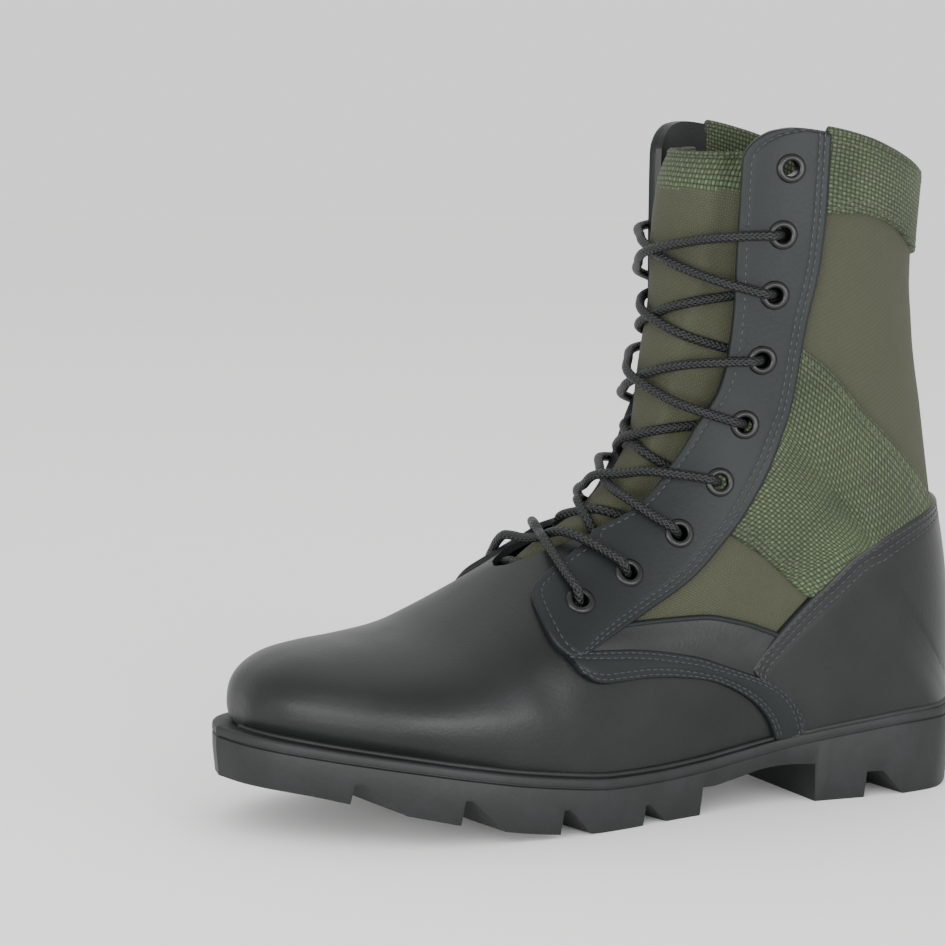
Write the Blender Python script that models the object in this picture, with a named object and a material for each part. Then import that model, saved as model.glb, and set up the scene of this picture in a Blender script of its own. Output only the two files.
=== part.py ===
"""Left jungle boot: lugged rubber outsole, hollow leather and canvas upper, tongue, insole, overlays,
eyelets and the crossings of the lace.

Metres, +Z up. The toe points to -Y and the outer (lateral) side of the foot is +X. The floor is z = 0.
Lengths along the foot are counted forward from the back of the heel.
"""
import math
from collections import namedtuple

import bpy
import bmesh
import numpy as np
from mathutils import Vector

# Sizes of the sole
SOLE_LENGTH = 0.308
BALL_WIDTH = 0.110
HEEL_LENGTH = 0.079
HEEL_RISE = 0.032
LEDGE_WIDTH = 0.0045
TOE_LEDGE_WIDTH = 0.0075
GROOVE_DROP = 0.0030
GROOVE_HEIGHT = 0.0010
GROOVE_DEPTH = 0.0009
EDGE_CHAMFER = 0.0007
LUG_DEPTH = 0.0080
LUG_DRAFT = 0.0014
CHANNEL_WIDTH = 0.0060
NOTCH_MOUTH = 0.0120
NOTCH_APEX = 0.0022

# Sizes of the upper and what is in it
BOOT_HEIGHT = 0.256
WALL = 0.0024
SEAT_GAP = 0.0005
PIECE_GAP = 0.0004
LEVEL_EDGE = 0.0080
INSOLE_THICKNESS = 0.0030
INSOLE_GAP = 0.0020
TONGUE_THICKNESS = 0.0028
TONGUE_LAP = 0.0055
TONGUE_TOP = 0.952

# Thicknesses of the overlays
EYESTAY_THICKNESS = 0.0024
COUNTER_THICKNESS = 0.0020
BAND_THICKNESS = 0.0022
PANEL_THICKNESS = 0.0012
STRAP_THICKNESS = 0.0015
COLLAR_BAND_THICKNESS = 0.0015

# Eyelets and lace
EYELET_WIDTH = 0.0110
EYELET_BORE = 0.0056
EYELET_FLANGE = 0.0011
EYELET_BARREL_WALL = 0.0005
EYELET_SEAT = 0.0005
LACE_WIDTH = 0.0036
LACE_GAP = 0.0011
LACE_DIP = 0.0120
LACE_RISE = 0.0018

# Fineness of the surfaces
FOOT_RINGS = 20
SHAFT_RINGS = 8
RING_STEPS = 20
SOLE_STATIONS = 34
EYELET_SIDES = 8
HOLE_REACH = 3.0 * WALL
LACE_SIDES = 5
TONGUE_RING = 8
LACE_STEPS = 8
PATH_STEPS = 40
HALVINGS = 24

# Outline of the sole seen from above: shares of the sole length and of half the ball width.
Plan = namedtuple("Plan", "along lateral medial")
PLAN = (
    Plan(0.0000, 0.000, 0.000),
    Plan(0.0070, 0.225, -0.225),
    Plan(0.0280, 0.450, -0.450),
    Plan(0.0750, 0.655, -0.655),
    Plan(0.1460, 0.718, -0.709),
    Plan(0.2270, 0.700, -0.655),
    Plan(0.3080, 0.682, -0.600),
    Plan(0.3900, 0.718, -0.591),
    Plan(0.4710, 0.800, -0.645),
    Plan(0.5520, 0.909, -0.764),
    Plan(0.6330, 0.982, -0.909),
    Plan(0.6980, 0.991, -1.000),
    Plan(0.7630, 0.955, -1.018),
    Plan(0.8280, 0.855, -0.973),
    Plan(0.8830, 0.709, -0.864),
    Plan(0.9320, 0.518, -0.700),
    Plan(0.9680, 0.309, -0.520),
    Plan(0.9900, 0.090, -0.330),
    Plan(1.0000, -0.127, -0.127),
)

# Side of the sole: its top edge and its tread as shares of the heel's rise.
Side = namedtuple("Side", "along top tread")
SIDE = (
    Side(0.000, 1.025, 0.025),
    Side(0.060, 1.010, 0.000),
    Side(0.130, 0.995, 0.000),
    Side(0.190, 0.940, 0.000),
    Side(0.260, 0.862, 0.000),
    Side(0.312, 0.790, 0.000),
    Side(0.377, 0.700, 0.000),
    Side(0.430, 0.640, 0.000),
    Side(0.500, 0.610, 0.000),
    Side(0.570, 0.620, 0.000),
    Side(0.630, 0.680, 0.030),
    Side(0.690, 0.755, 0.095),
    Side(0.763, 0.865, 0.215),
    Side(0.830, 0.965, 0.345),
    Side(0.893, 1.045, 0.470),
    Side(0.941, 1.100, 0.545),
    Side(1.000, 1.160, 0.590),
)

# Underside of the arch, between the heel's breast and the last lug.
Arch = namedtuple("Arch", "along height")
ARCH = (
    Arch(0.258, 0.455),
    Arch(0.300, 0.475),
    Arch(0.335, 0.455),
    Arch(0.370, 0.390),
    Arch(0.408, 0.325),
)
LUG_START = 0.432

# Notches in the edge of the tread: place of the apex, its width and depth as shares of the usual notch's,
# lean of the cut towards the toe, and reach inward.
Notch = namedtuple("Notch", "along apex depth lean reach")
NOTCHES = (
    Notch(0.1740, 3.2, 1.25, 0.10, 0.52),
    Notch(0.5180, 1.0, 0.95, 0.26, 0.86),
    Notch(0.6400, 1.0, 1.15, 0.26, 0.86),
    Notch(0.7660, 1.0, 1.20, 0.26, 0.86),
    Notch(0.8840, 1.0, 0.95, 0.20, 0.84),
)

# Sections of the upper. Each lies in a plane through two points of the side view: one on the sole's edge or
# the back line, one on the ridge of toe and instep or the front line. Lengths along are shares of the sole
# length, heights of the boot's height, sides and ridge of half the ball width.
Section = namedtuple("Section", "foot rise front height ridge lateral medial level crown")
SECTIONS = (
    Section(0.9735, 0.000, 0.9740, 0.1740, -0.127, 0.010, -0.260, 0.45, 2.4),
    Section(0.9700, 0.000, 0.9710, 0.1940, -0.127, 0.100, -0.350, 0.42, 2.4),
    Section(0.9600, 0.000, 0.9610, 0.2150, -0.127, 0.220, -0.470, 0.38, 2.4),
    Section(0.9420, 0.000, 0.9420, 0.2310, -0.125, 0.380, -0.600, 0.35, 2.4),
    Section(0.9140, 0.000, 0.9120, 0.2440, -0.120, 0.545, -0.740, 0.32, 2.4),
    Section(0.8740, 0.000, 0.8700, 0.2520, -0.115, 0.700, -0.860, 0.30, 2.35),
    Section(0.8250, 0.000, 0.8180, 0.2590, -0.110, 0.830, -0.945, 0.29, 2.3),
    Section(0.7660, 0.000, 0.7600, 0.2740, -0.105, 0.915, -0.975, 0.28, 2.25),
    Section(0.6980, 0.000, 0.6980, 0.3110, -0.100, 0.950, -0.950, 0.28, 2.15),
    Section(0.6170, 0.000, 0.6430, 0.3530, -0.090, 0.925, -0.830, 0.28, 2.05),
    Section(0.5360, 0.000, 0.5920, 0.3950, -0.070, 0.845, -0.720, 0.29, 2.0),
    Section(0.4550, 0.000, 0.5460, 0.4320, -0.045, 0.765, -0.665, 0.31, 2.0),
    Section(0.3670, 0.000, 0.5100, 0.4720, -0.025, 0.720, -0.650, 0.34, 2.05),
    Section(0.2760, 0.000, 0.4860, 0.5120, -0.010, 0.702, -0.660, 0.38, 2.1),
    Section(0.1880, 0.000, 0.4730, 0.5550, 0.000, 0.692, -0.675, 0.41, 2.15),
    Section(0.1040, 0.000, 0.4660, 0.6000, 0.000, 0.686, -0.680, 0.43, 2.2),
    Section(0.0450, 0.000, 0.4610, 0.6480, 0.000, 0.690, -0.690, 0.45, 2.2),
    Section(0.0205, 0.000, 0.4570, 0.6950, 0.000, 0.700, -0.700, 0.46, 2.2),
    Section(0.0146, 0.000, 0.4530, 0.7400, 0.000, 0.712, -0.710, 0.47, 2.2),
    Section(0.0160, 0.075, 0.4500, 0.7850, 0.000, 0.728, -0.725, 0.48, 2.2),
    Section(0.0260, 0.170, 0.4470, 0.8300, 0.000, 0.742, -0.740, 0.49, 2.2),
    Section(0.0460, 0.285, 0.4440, 0.8750, 0.000, 0.755, -0.752, 0.50, 2.2),
    Section(0.0680, 0.415, 0.4410, 0.9200, 0.000, 0.765, -0.762, 0.50, 2.2),
    Section(0.0890, 0.545, 0.4380, 0.9650, 0.000, 0.775, -0.772, 0.50, 2.2),
    Section(0.1000, 0.675, 0.4350, 1.0050, 0.000, 0.785, -0.782, 0.50, 2.2),
    Section(0.0960, 0.795, 0.4320, 1.0400, 0.000, 0.795, -0.792, 0.50, 2.2),
    Section(0.0850, 0.900, 0.4290, 1.0800, 0.000, 0.805, -0.802, 0.50, 2.2),
)
BACK_POWER = 2.2
HEEL_ROW = sum(1 for row in SECTIONS if row.rise == 0.0) - 1
TOP_ROW = len(SECTIONS) - 1

# Throat seen from the front: shares of the boot's height and of half the ball width.
Throat = namedtuple("Throat", "height centre half")
THROAT = (
    Throat(0.3500, -0.100, 0.020),
    Throat(0.3560, -0.100, 0.110),
    Throat(0.3680, -0.095, 0.190),
    Throat(0.3860, -0.080, 0.275),
    Throat(0.4080, -0.060, 0.345),
    Throat(0.4400, -0.040, 0.385),
    Throat(0.4900, -0.020, 0.395),
    Throat(0.5500, 0.000, 0.420),
    Throat(0.6200, 0.000, 0.485),
    Throat(0.7200, 0.000, 0.525),
    Throat(0.8200, 0.000, 0.545),
    Throat(0.9500, 0.000, 0.565),
    Throat(1.1200, 0.000, 0.580),
)

# Stretch of the sole's length that the throat's cut spans.
THROAT_REACH = (0.86, 0.30)

# Side-view lines of the pattern: shares of the sole length and of the boot's height.
Spot = namedtuple("Spot", "along height")
COLLAR_LINE = (
    Spot(0.620, 0.780), Spot(0.440, 0.890), Spot(0.395, 0.948), Spot(0.382, 0.975), Spot(0.363, 0.991),
    Spot(0.338, 0.996), Spot(0.294, 0.991), Spot(0.240, 0.978), Spot(0.200, 0.963), Spot(0.162, 0.947),
    Spot(0.125, 0.932), Spot(0.080, 0.922), Spot(-0.060, 0.915),
)
EYESTAY_FRONT = (
    Spot(0.620, 1.100), Spot(0.620, 0.560), Spot(0.548, 0.440), Spot(0.545, 0.404), Spot(0.575, 0.381),
    Spot(0.608, 0.357), Spot(0.632, 0.338), Spot(0.643, 0.328), Spot(0.649, 0.315), Spot(0.651, 0.298),
    Spot(0.650, 0.280), Spot(0.644, 0.262), Spot(0.628, 0.242),
)
EYESTAY_REAR = (
    Spot(0.606, 0.251), Spot(0.570, 0.270), Spot(0.506, 0.305), Spot(0.448, 0.344), Spot(0.405, 0.392),
    Spot(0.370, 0.441), Spot(0.337, 0.513), Spot(0.318, 0.602), Spot(0.310, 0.705), Spot(0.297, 0.807),
    Spot(0.294, 0.893), Spot(0.294, 1.100),
)
PANEL_TOP = (
    Spot(0.575, 0.285), Spot(0.538, 0.287), Spot(0.438, 0.291), Spot(0.382, 0.280), Spot(0.325, 0.256),
)
PANEL_LOW = (
    Spot(0.333, 0.190), Spot(0.380, 0.195), Spot(0.440, 0.219), Spot(0.530, 0.232), Spot(0.590, 0.236),
    Spot(0.612, 0.245),
)
BAND_TOP = (
    Spot(0.598, 0.213), Spot(0.613, 0.228), Spot(0.632, 0.252), Spot(0.626, 0.262), Spot(0.600, 0.256),
    Spot(0.556, 0.255), Spot(0.455, 0.238), Spot(0.390, 0.213), Spot(0.345, 0.206), Spot(0.285, 0.165),
    Spot(0.256, 0.090), Spot(0.248, 0.040),
)
BAND_LOW = (
    Spot(0.294, 0.040), Spot(0.317, 0.092), Spot(0.335, 0.130), Spot(0.372, 0.169), Spot(0.440, 0.201),
    Spot(0.531, 0.211), Spot(0.580, 0.210),
)
COUNTER_LINE = (
    Spot(0.262, 0.020), Spot(0.275, 0.100), Spot(0.294, 0.148), Spot(0.325, 0.181), Spot(0.366, 0.209),
    Spot(0.345, 0.243), Spot(0.288, 0.306), Spot(0.211, 0.380), Spot(0.146, 0.417), Spot(0.090, 0.436),
    Spot(0.040, 0.446), Spot(-0.060, 0.448),
)
STRAP_TOP = (
    Spot(0.360, 0.725), Spot(0.310, 0.677), Spot(0.280, 0.652), Spot(0.227, 0.590), Spot(0.130, 0.491),
    Spot(0.085, 0.442),
)
STRAP_LOW = (
    Spot(0.150, 0.360), Spot(0.287, 0.312), Spot(0.354, 0.376), Spot(0.400, 0.410),
)
COLLAR_BAND_LOW = (
    Spot(-0.060, 0.800), Spot(0.080, 0.803), Spot(0.120, 0.812), Spot(0.150, 0.831), Spot(0.180, 0.852),
    Spot(0.215, 0.867), Spot(0.251, 0.874), Spot(0.340, 0.873),
)

# Eyelets of one row from the top down, in the side view.
EYELET_SPOTS = (
    Spot(0.342, 0.938), Spot(0.346, 0.843), Spot(0.350, 0.756), Spot(0.358, 0.661), Spot(0.374, 0.566),
    Spot(0.405, 0.481), Spot(0.458, 0.407), Spot(0.528, 0.352), Spot(0.598, 0.316),
)


def spline(rows, where, axis, column):
    """Smooth value of a table's column at a place, without overshoot."""
    x = np.array([getattr(r, axis) for r in rows])
    y = np.array([getattr(r, column) for r in rows])
    h = np.diff(x)
    d = np.diff(y) / h
    slope = np.zeros(len(x))
    slope[0] = d[0]
    slope[-1] = d[-1]
    for i in range(1, len(x) - 1):
        if d[i - 1] * d[i] > 0:
            w1 = 2 * h[i] + h[i - 1]
            w2 = h[i] + 2 * h[i - 1]
            slope[i] = (w1 + w2) / (w1 / d[i - 1] + w2 / d[i])
    i = int(np.clip(np.searchsorted(x, where) - 1, 0, len(x) - 2))
    t = min(max((where - x[i]) / h[i], 0.0), 1.0)
    return float((2 * t**3 - 3 * t**2 + 1) * y[i] + (t**3 - 2 * t**2 + t) * h[i] * slope[i]
                 + (3 * t**2 - 2 * t**3) * y[i + 1] + (t**3 - t**2) * h[i] * slope[i + 1])


def y_of(along):
    """World y of a length counted forward from the back of the heel, as a share of the sole."""
    return (0.5 - along) * SOLE_LENGTH


def plan_edge(along, side, inset=0.0):
    """Edge of the sole's outline, moved inward by an inset that keeps its ends round."""
    half = 0.5 * SOLE_LENGTH
    shrink = half / (half - inset)
    share = min(max(0.5 + (along - 0.5) * shrink, 0.0), 1.0)
    lateral = spline(PLAN, share, "along", "lateral")
    medial = spline(PLAN, share, "along", "medial")
    centre = 0.5 * (lateral + medial)
    reach = (lateral if side > 0 else medial) - centre
    keep = 1.0 - inset / (0.5 * BALL_WIDTH)
    return (centre + reach * keep) * 0.5 * BALL_WIDTH


def ledge(along):
    """Width of the ledge between the upper and the sole's edge, which grows towards the toe."""
    share = min(max((along - 0.75) / 0.25, 0.0), 1.0)
    return LEDGE_WIDTH + (TOE_LEDGE_WIDTH - LEDGE_WIDTH) * share**2 * (3.0 - 2.0 * share)


def sole_top(along):
    return spline(SIDE, along, "along", "top") * HEEL_RISE


def tread(along):
    """Height of the tread or, between heel and last lug, of the arch."""
    breast = HEEL_LENGTH / SOLE_LENGTH
    if breast < along < LUG_START:
        return spline(ARCH, along, "along", "height") * HEEL_RISE
    return spline(SIDE, along, "along", "tread") * HEEL_RISE


def section_at(u):
    """Section at a place in the table, read from a smooth curve through its rows."""
    rows = np.array(SECTIONS)
    last = len(rows) - 1
    i = int(min(max(math.floor(u), 0), last - 1))
    t = u - i
    p0, p1, p2, p3 = rows[max(i - 1, 0)], rows[i], rows[i + 1], rows[min(i + 2, last)]
    value = 0.5 * (2 * p1 + (p2 - p0) * t + (2 * p0 - 5 * p1 + 4 * p2 - p3) * t**2
                   + (3 * p1 - p0 - 3 * p2 + p3) * t**3)
    return Section(*value)


def last_point(u, s):
    """Point of the upper's outer face: u runs from toe to collar, s from the outer side over the ridge."""
    row = section_at(u)
    half_ball = 0.5 * BALL_WIDTH
    side = 1.0 if s < 0.5 else -1.0
    low_z = sole_top(max(row.foot, 0.0)) + SEAT_GAP + max(row.rise, 0.0) * BOOT_HEIGHT
    foot = 0.0 if u >= HEEL_ROW else plan_edge(row.foot, side, ledge(row.foot))
    ridge = row.ridge * half_ball
    wide = (row.lateral if side > 0 else row.medial) * half_ball
    q = abs(2.0 * s - 1.0)
    split = 0.5
    if q < split:
        angle = 0.5 * math.pi * (1.0 - q / split)
        x = ridge + (wide - ridge) * math.cos(angle) ** (2.0 / row.crown)
        level = row.level + (1.0 - row.level) * math.sin(angle) ** (2.0 / row.crown)
    else:
        angle = 0.5 * math.pi * (q - split) / (1.0 - split)
        closing = min(max(1.0 - (foot - ridge) / (wide - ridge), 0.0), 1.0) ** 2
        x = foot + (wide - foot) * math.cos(angle) ** (2.0 / (1.0 + (BACK_POWER - 1.0) * closing))
        level = row.level * (1.0 - math.sin(angle))
    along = row.foot + (row.front - row.foot) * level
    z = low_z + (row.height * BOOT_HEIGHT - low_z) * level
    return Vector((x, y_of(along), z))


def ring_places():
    """Places of the rings along the table, with one exactly on the heel's lowest point."""
    foot = [HEEL_ROW * i / FOOT_RINGS for i in range(FOOT_RINGS)]
    shaft = [HEEL_ROW + (TOP_ROW - HEEL_ROW) * i / SHAFT_RINGS for i in range(SHAFT_RINGS + 1)]
    return foot + shaft


def add_skin(bm, points, flip, first=0):
    """Add the rings of a skin and its faces. Past the heel's lowest point a ring's two ends are one vertex."""
    made = []
    for i, ring in enumerate(points):
        row = [bm.verts.new(p) for p in ring[:-1]]
        row.append(row[0] if i + first >= FOOT_RINGS else bm.verts.new(ring[-1]))
        made.append(row)
    faces = []
    for i in range(len(points) - 1):
        for k in range(RING_STEPS):
            faces.append((made[i][k], made[i + 1][k], made[i + 1][k + 1], made[i][k + 1]))
    faces.append(tuple(made[0]))
    for face in faces:
        bm.faces.new(tuple(reversed(face)) if flip else face)
    return made


def last_skin():
    """Points of the upper's outer face, ring by ring, and the directions that it is offset in."""
    grid = [[last_point(u, k / RING_STEPS) for k in range(RING_STEPS + 1)] for u in ring_places()]
    bm = bmesh.new()
    made = add_skin(bm, grid, False)
    bm.normal_update()
    normals = [[v.normal.copy() for v in ring] for ring in made]
    bm.free()
    for i, ring in enumerate(normals):
        for k, normal in enumerate(ring):
            if i <= FOOT_RINGS and normal.z < 0.0:
                normal.z *= min((grid[i][k].z - grid[i][0].z) / LEVEL_EDGE, 1.0)
            if i >= FOOT_RINGS and k in (0, RING_STEPS):
                normal.x = 0.0
            normal.normalize()
    return grid, normals


def offset_points(skin, distance):
    grid, normals = skin
    return [[p + n * distance for p, n in zip(ring, ns)] for ring, ns in zip(grid, normals)]


def add_unique(bm, verts):
    """Add a face, leaving out a vertex that is named twice."""
    kept = []
    for v in verts:
        if v not in kept:
            kept.append(v)
    if len(kept) > 2:
        bm.faces.new(kept)


def shell_mesh(name, skin, inner, outer, first=0):
    """Closed wall between two offsets of the skin from one ring on, open at the collar and underneath."""
    bm = bmesh.new()
    out = add_skin(bm, offset_points(skin, outer)[first:], False, first)
    inn = add_skin(bm, offset_points(skin, inner)[first:], True, first)
    last = RING_STEPS
    for i in range(FOOT_RINGS - first):
        add_unique(bm, (out[i + 1][0], out[i][0], inn[i][0], inn[i + 1][0]))
        add_unique(bm, (out[i][last], out[i + 1][last], inn[i + 1][last], inn[i][last]))
    add_unique(bm, (out[0][0], out[0][last], inn[0][last], inn[0][0]))
    for k in range(last):
        add_unique(bm, (out[-1][k + 1], out[-1][k], inn[-1][k], inn[-1][k + 1]))
    return finish_mesh(name, bm)


def finish_mesh(name, bm):
    """Triangulate what isn't flat and turn the mesh into an object."""
    bmesh.ops.triangulate(bm, faces=bm.faces)
    bmesh.ops.recalc_face_normals(bm, faces=bm.faces)
    mesh = bpy.data.meshes.new(name)
    bm.to_mesh(mesh)
    bm.free()
    obj = bpy.data.objects.new(name, mesh)
    bpy.context.scene.collection.objects.link(obj)
    return obj


def prism(name, outline, low, high, plane):
    """Solid with a flat outline, drawn out along x from a side view or along y from a front view."""
    bm = bmesh.new()
    ends = []
    for reach in (low, high):
        if plane == "side":
            ends.append([bm.verts.new((reach, a, b)) for a, b in outline])
        elif plane == "front":
            ends.append([bm.verts.new((a, reach, b)) for a, b in outline])
        else:
            ends.append([bm.verts.new((a, b, reach)) for a, b in outline])
    first, second = ends
    bm.faces.new(tuple(reversed(first)))
    bm.faces.new(second)
    count = len(outline)
    for i in range(count):
        j = (i + 1) % count
        bm.faces.new((first[i], first[j], second[j], second[i]))
    return finish_mesh(name, bm)


def grown(outline, margin):
    """Outline moved outward by a margin, corner by corner."""
    pts = np.array(outline)
    area = 0.5 * np.sum(pts[:, 0] * np.roll(pts[:, 1], -1) - np.roll(pts[:, 0], -1) * pts[:, 1])
    turn = 1.0 if area > 0 else -1.0
    result = []
    for before, here, after in zip(np.roll(pts, 1, axis=0), pts, np.roll(pts, -1, axis=0)):
        a = (here - before) / np.linalg.norm(here - before)
        b = (after - here) / np.linalg.norm(after - here)
        out = np.array((a[1] + b[1], -a[0] - b[0])) * turn
        out /= np.linalg.norm(out)
        share = max(abs(float(np.dot(out, (a[1] * turn, -a[0] * turn)))), 0.5)
        result.append(tuple(here + out * margin / share))
    return result


def combine(target, cutter, operation):
    """Apply one Boolean and remove its cutter."""
    cutter.hide_render = True
    cutter.display_type = "WIRE"
    step = target.modifiers.new(operation.title(), "BOOLEAN")
    step.operation = operation
    step.solver = "EXACT"
    step.object = cutter
    bpy.context.view_layer.objects.active = target
    bpy.ops.object.modifier_apply(modifier=step.name)
    mesh = cutter.data
    bpy.data.objects.remove(cutter)
    bpy.data.meshes.remove(mesh)


def side_outline(*lines):
    """World outline in the side view of lines given as shares."""
    return [(y_of(spot.along), spot.height * BOOT_HEIGHT) for line in lines for spot in line]


def throat_outline(margin=0.0):
    """World outline of the throat in the front view, widened by a margin."""
    half_ball = 0.5 * BALL_WIDTH
    edges = [(row.centre * half_ball, row.half * half_ball + margin, row.height * BOOT_HEIGHT) for row in THROAT]
    left = [(middle + half, height) for middle, half, height in edges]
    right = [(middle - half, height) for middle, half, height in edges]
    return left + right[::-1]


def throat_cutter(margin=0.0):
    return prism("throat_cut", throat_outline(margin), y_of(THROAT_REACH[0]), y_of(THROAT_REACH[1]), "front")


def collar_cutter():
    """What lies above the collar's line."""
    line = side_outline(COLLAR_LINE)
    top = 1.3 * BOOT_HEIGHT
    return prism("collar_cut", line + [(line[-1][0], top), (line[0][0], top)], -BALL_WIDTH, BALL_WIDTH, "side")


def material(name, colour, roughness, metallic=0.0):
    mat = bpy.data.materials.new(name)
    mat.use_nodes = True
    shader = mat.node_tree.nodes["Principled BSDF"]
    shader.inputs["Base Color"].default_value = (*colour, 1.0)
    shader.inputs["Roughness"].default_value = roughness
    shader.inputs["Metallic"].default_value = metallic
    return mat


def dress(obj, mat, angle=35.0):
    obj.data.materials.clear()
    obj.data.materials.append(mat)
    obj.data.shade_smooth()
    obj.data.set_sharp_from_angle(angle=math.radians(angle))


def sole_stations():
    """Places along the sole: even steps, closer at its round ends, and both sides of each step of the tread."""
    even = [0.5 - 0.5 * math.cos(math.pi * i / SOLE_STATIONS) for i in range(1, SOLE_STATIONS)]
    breast = HEEL_LENGTH / SOLE_LENGTH
    steps = [breast, breast + 0.002, LUG_START - 0.024, LUG_START]
    kept = [a for a in even if min(abs(a - b) for b in steps) > 0.008]
    return sorted(kept + steps)


def sole_ring(inset, height):
    """Closed ring around the sole: outer side from heel to toe, then back along the inner side."""
    heel = inset(0.0) / SOLE_LENGTH
    toe = inset(1.0) / SOLE_LENGTH
    stations = sole_stations()
    places = [(0.0, 1.0)] + [(a, 1.0) for a in stations] + [(1.0, 1.0)]
    places += [(a, -1.0) for a in reversed(stations)]
    ring = []
    for place, side in places:
        along = heel + place * (1.0 - heel - toe)
        ring.append(Vector((plan_edge(along, side, inset(along)), y_of(along), height(place))))
    return ring


def sole_body(name, levels):
    """Solid through rings around the sole, with its first and last rings closed pair by pair."""
    bm = bmesh.new()
    rings = [[bm.verts.new(p) for p in sole_ring(inset, height)] for inset, height in levels]
    count = len(rings[0])
    for upper, lower in zip(rings, rings[1:]):
        for i in range(count):
            j = (i + 1) % count
            bm.faces.new((upper[i], upper[j], lower[j], lower[i]))
    half = count // 2
    for ring in (rings[0], rings[-1]):
        for i in range(half):
            add_unique(bm, (ring[i], ring[i + 1], ring[(count - i - 1) % count], ring[(count - i) % count]))
    return finish_mesh(name, bm)


def outsole(mat):
    """Sole with its ledge, the groove round its side, arch, heel breast, toe spring and notched lugs."""
    def top(drop):
        return lambda a: sole_top(a) - drop
    groove_low = GROOVE_DROP + GROOVE_HEIGHT
    levels = (
        (lambda a: EDGE_CHAMFER, top(0.0)),
        (lambda a: 0.0, top(EDGE_CHAMFER)),
        (lambda a: 0.0, top(GROOVE_DROP)),
        (lambda a: GROOVE_DEPTH, top(GROOVE_DROP)),
        (lambda a: GROOVE_DEPTH, top(groove_low)),
        (lambda a: 0.0, top(groove_low)),
        (lambda a: LUG_DRAFT, tread),
    )
    body = sole_body("outsole", levels)
    for notch in NOTCHES:
        for side in (1.0, -1.0):
            combine(body, notch_cutter(notch, side), "DIFFERENCE")
    combine(body, channel_cutter(), "DIFFERENCE")
    dress(body, mat)
    return body


def notch_cutter(notch, side):
    """Notch through the edge of the tread, steep on its toe side and sloped on its heel side."""
    low = tread(notch.along)
    root = low + LUG_DEPTH * notch.depth
    mouth = low - 0.5 * LUG_DEPTH
    edge = plan_edge(notch.along, side)
    inner = edge * (1.0 - notch.reach)
    outer = edge * 1.15
    y = y_of(notch.along)
    half = 0.5 * NOTCH_APEX * notch.apex
    profile = ((y - half, root), (y + half, root),
               (y + half + 1.5 * (NOTCH_MOUTH - NOTCH_APEX), mouth), (y - half - 0.4 * NOTCH_APEX, mouth))
    bm = bmesh.new()
    rows = []
    for x in (outer, inner):
        shift = notch.lean * (abs(x) - abs(edge))
        rows.append([bm.verts.new((x, b + shift, c)) for b, c in profile])
    bm.faces.new(rows[0])
    bm.faces.new(tuple(reversed(rows[1])))
    for i in range(4):
        j = (i + 1) % 4
        bm.faces.new((rows[0][i], rows[0][j], rows[1][j], rows[1][i]))
    return finish_mesh("notch_cut", bm)


def channel_cutter():
    """Channel along the middle of the forefoot's tread, following the toe spring."""
    first = LUG_START + 0.03
    last = 0.93
    steps = 10
    bm = bmesh.new()
    rows = []
    for i in range(steps + 1):
        along = first + (last - first) * i / steps
        x = 0.25 * (plan_edge(along, 1.0) + plan_edge(along, -1.0))
        low = tread(along)
        rows.append([bm.verts.new((x + dx, y_of(along), z)) for dx, z in (
            (-0.5 * CHANNEL_WIDTH, low - LUG_DEPTH), (0.5 * CHANNEL_WIDTH, low - LUG_DEPTH),
            (0.4 * CHANNEL_WIDTH, low + 0.8 * LUG_DEPTH), (-0.4 * CHANNEL_WIDTH, low + 0.8 * LUG_DEPTH))])
    for a, b in zip(rows, rows[1:]):
        for i in range(4):
            j = (i + 1) % 4
            bm.faces.new((a[i], a[j], b[j], b[i]))
    bm.faces.new(rows[0])
    bm.faces.new(rows[-1])
    return finish_mesh("channel_cut", bm)


def insole(mat):
    """Flat bed inside the upper, resting on the sole."""
    def inset(along):
        return ledge(along) + WALL + INSOLE_GAP
    levels = (
        (inset, lambda a: sole_top(a) + SEAT_GAP + INSOLE_THICKNESS),
        (inset, lambda a: sole_top(a) + SEAT_GAP),
    )
    bed = sole_body("insole", levels)
    dress(bed, mat)
    return bed


def overlay(name, skin, thickness, outline, sides, cuts, mat):
    """Piece on the upper's face, cut from a wall between two offsets by its side-view outline."""
    piece = shell_mesh(name, skin, SEAT_GAP, SEAT_GAP + thickness)
    combine(piece, prism("outline", outline, -BALL_WIDTH, BALL_WIDTH, "side"), "INTERSECT")
    for cut in cuts:
        combine(piece, cut(), "DIFFERENCE")
    if sides:
        reach = SOLE_LENGTH
        square = ((-reach, -reach), (reach, -reach), (reach, reach), (-reach, reach))
        far, near = sorted((-sides * BALL_WIDTH, sides * PIECE_GAP))
        combine(piece, prism("other_side", square, far, near, "side"), "DIFFERENCE")
    dress(piece, mat)
    return piece


def outline_cutter(outline):
    """Neighbour's outline, wider by the gap between pieces."""
    return lambda: prism("neighbour", grown(outline, PIECE_GAP), -BALL_WIDTH, BALL_WIDTH, "side")


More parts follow.
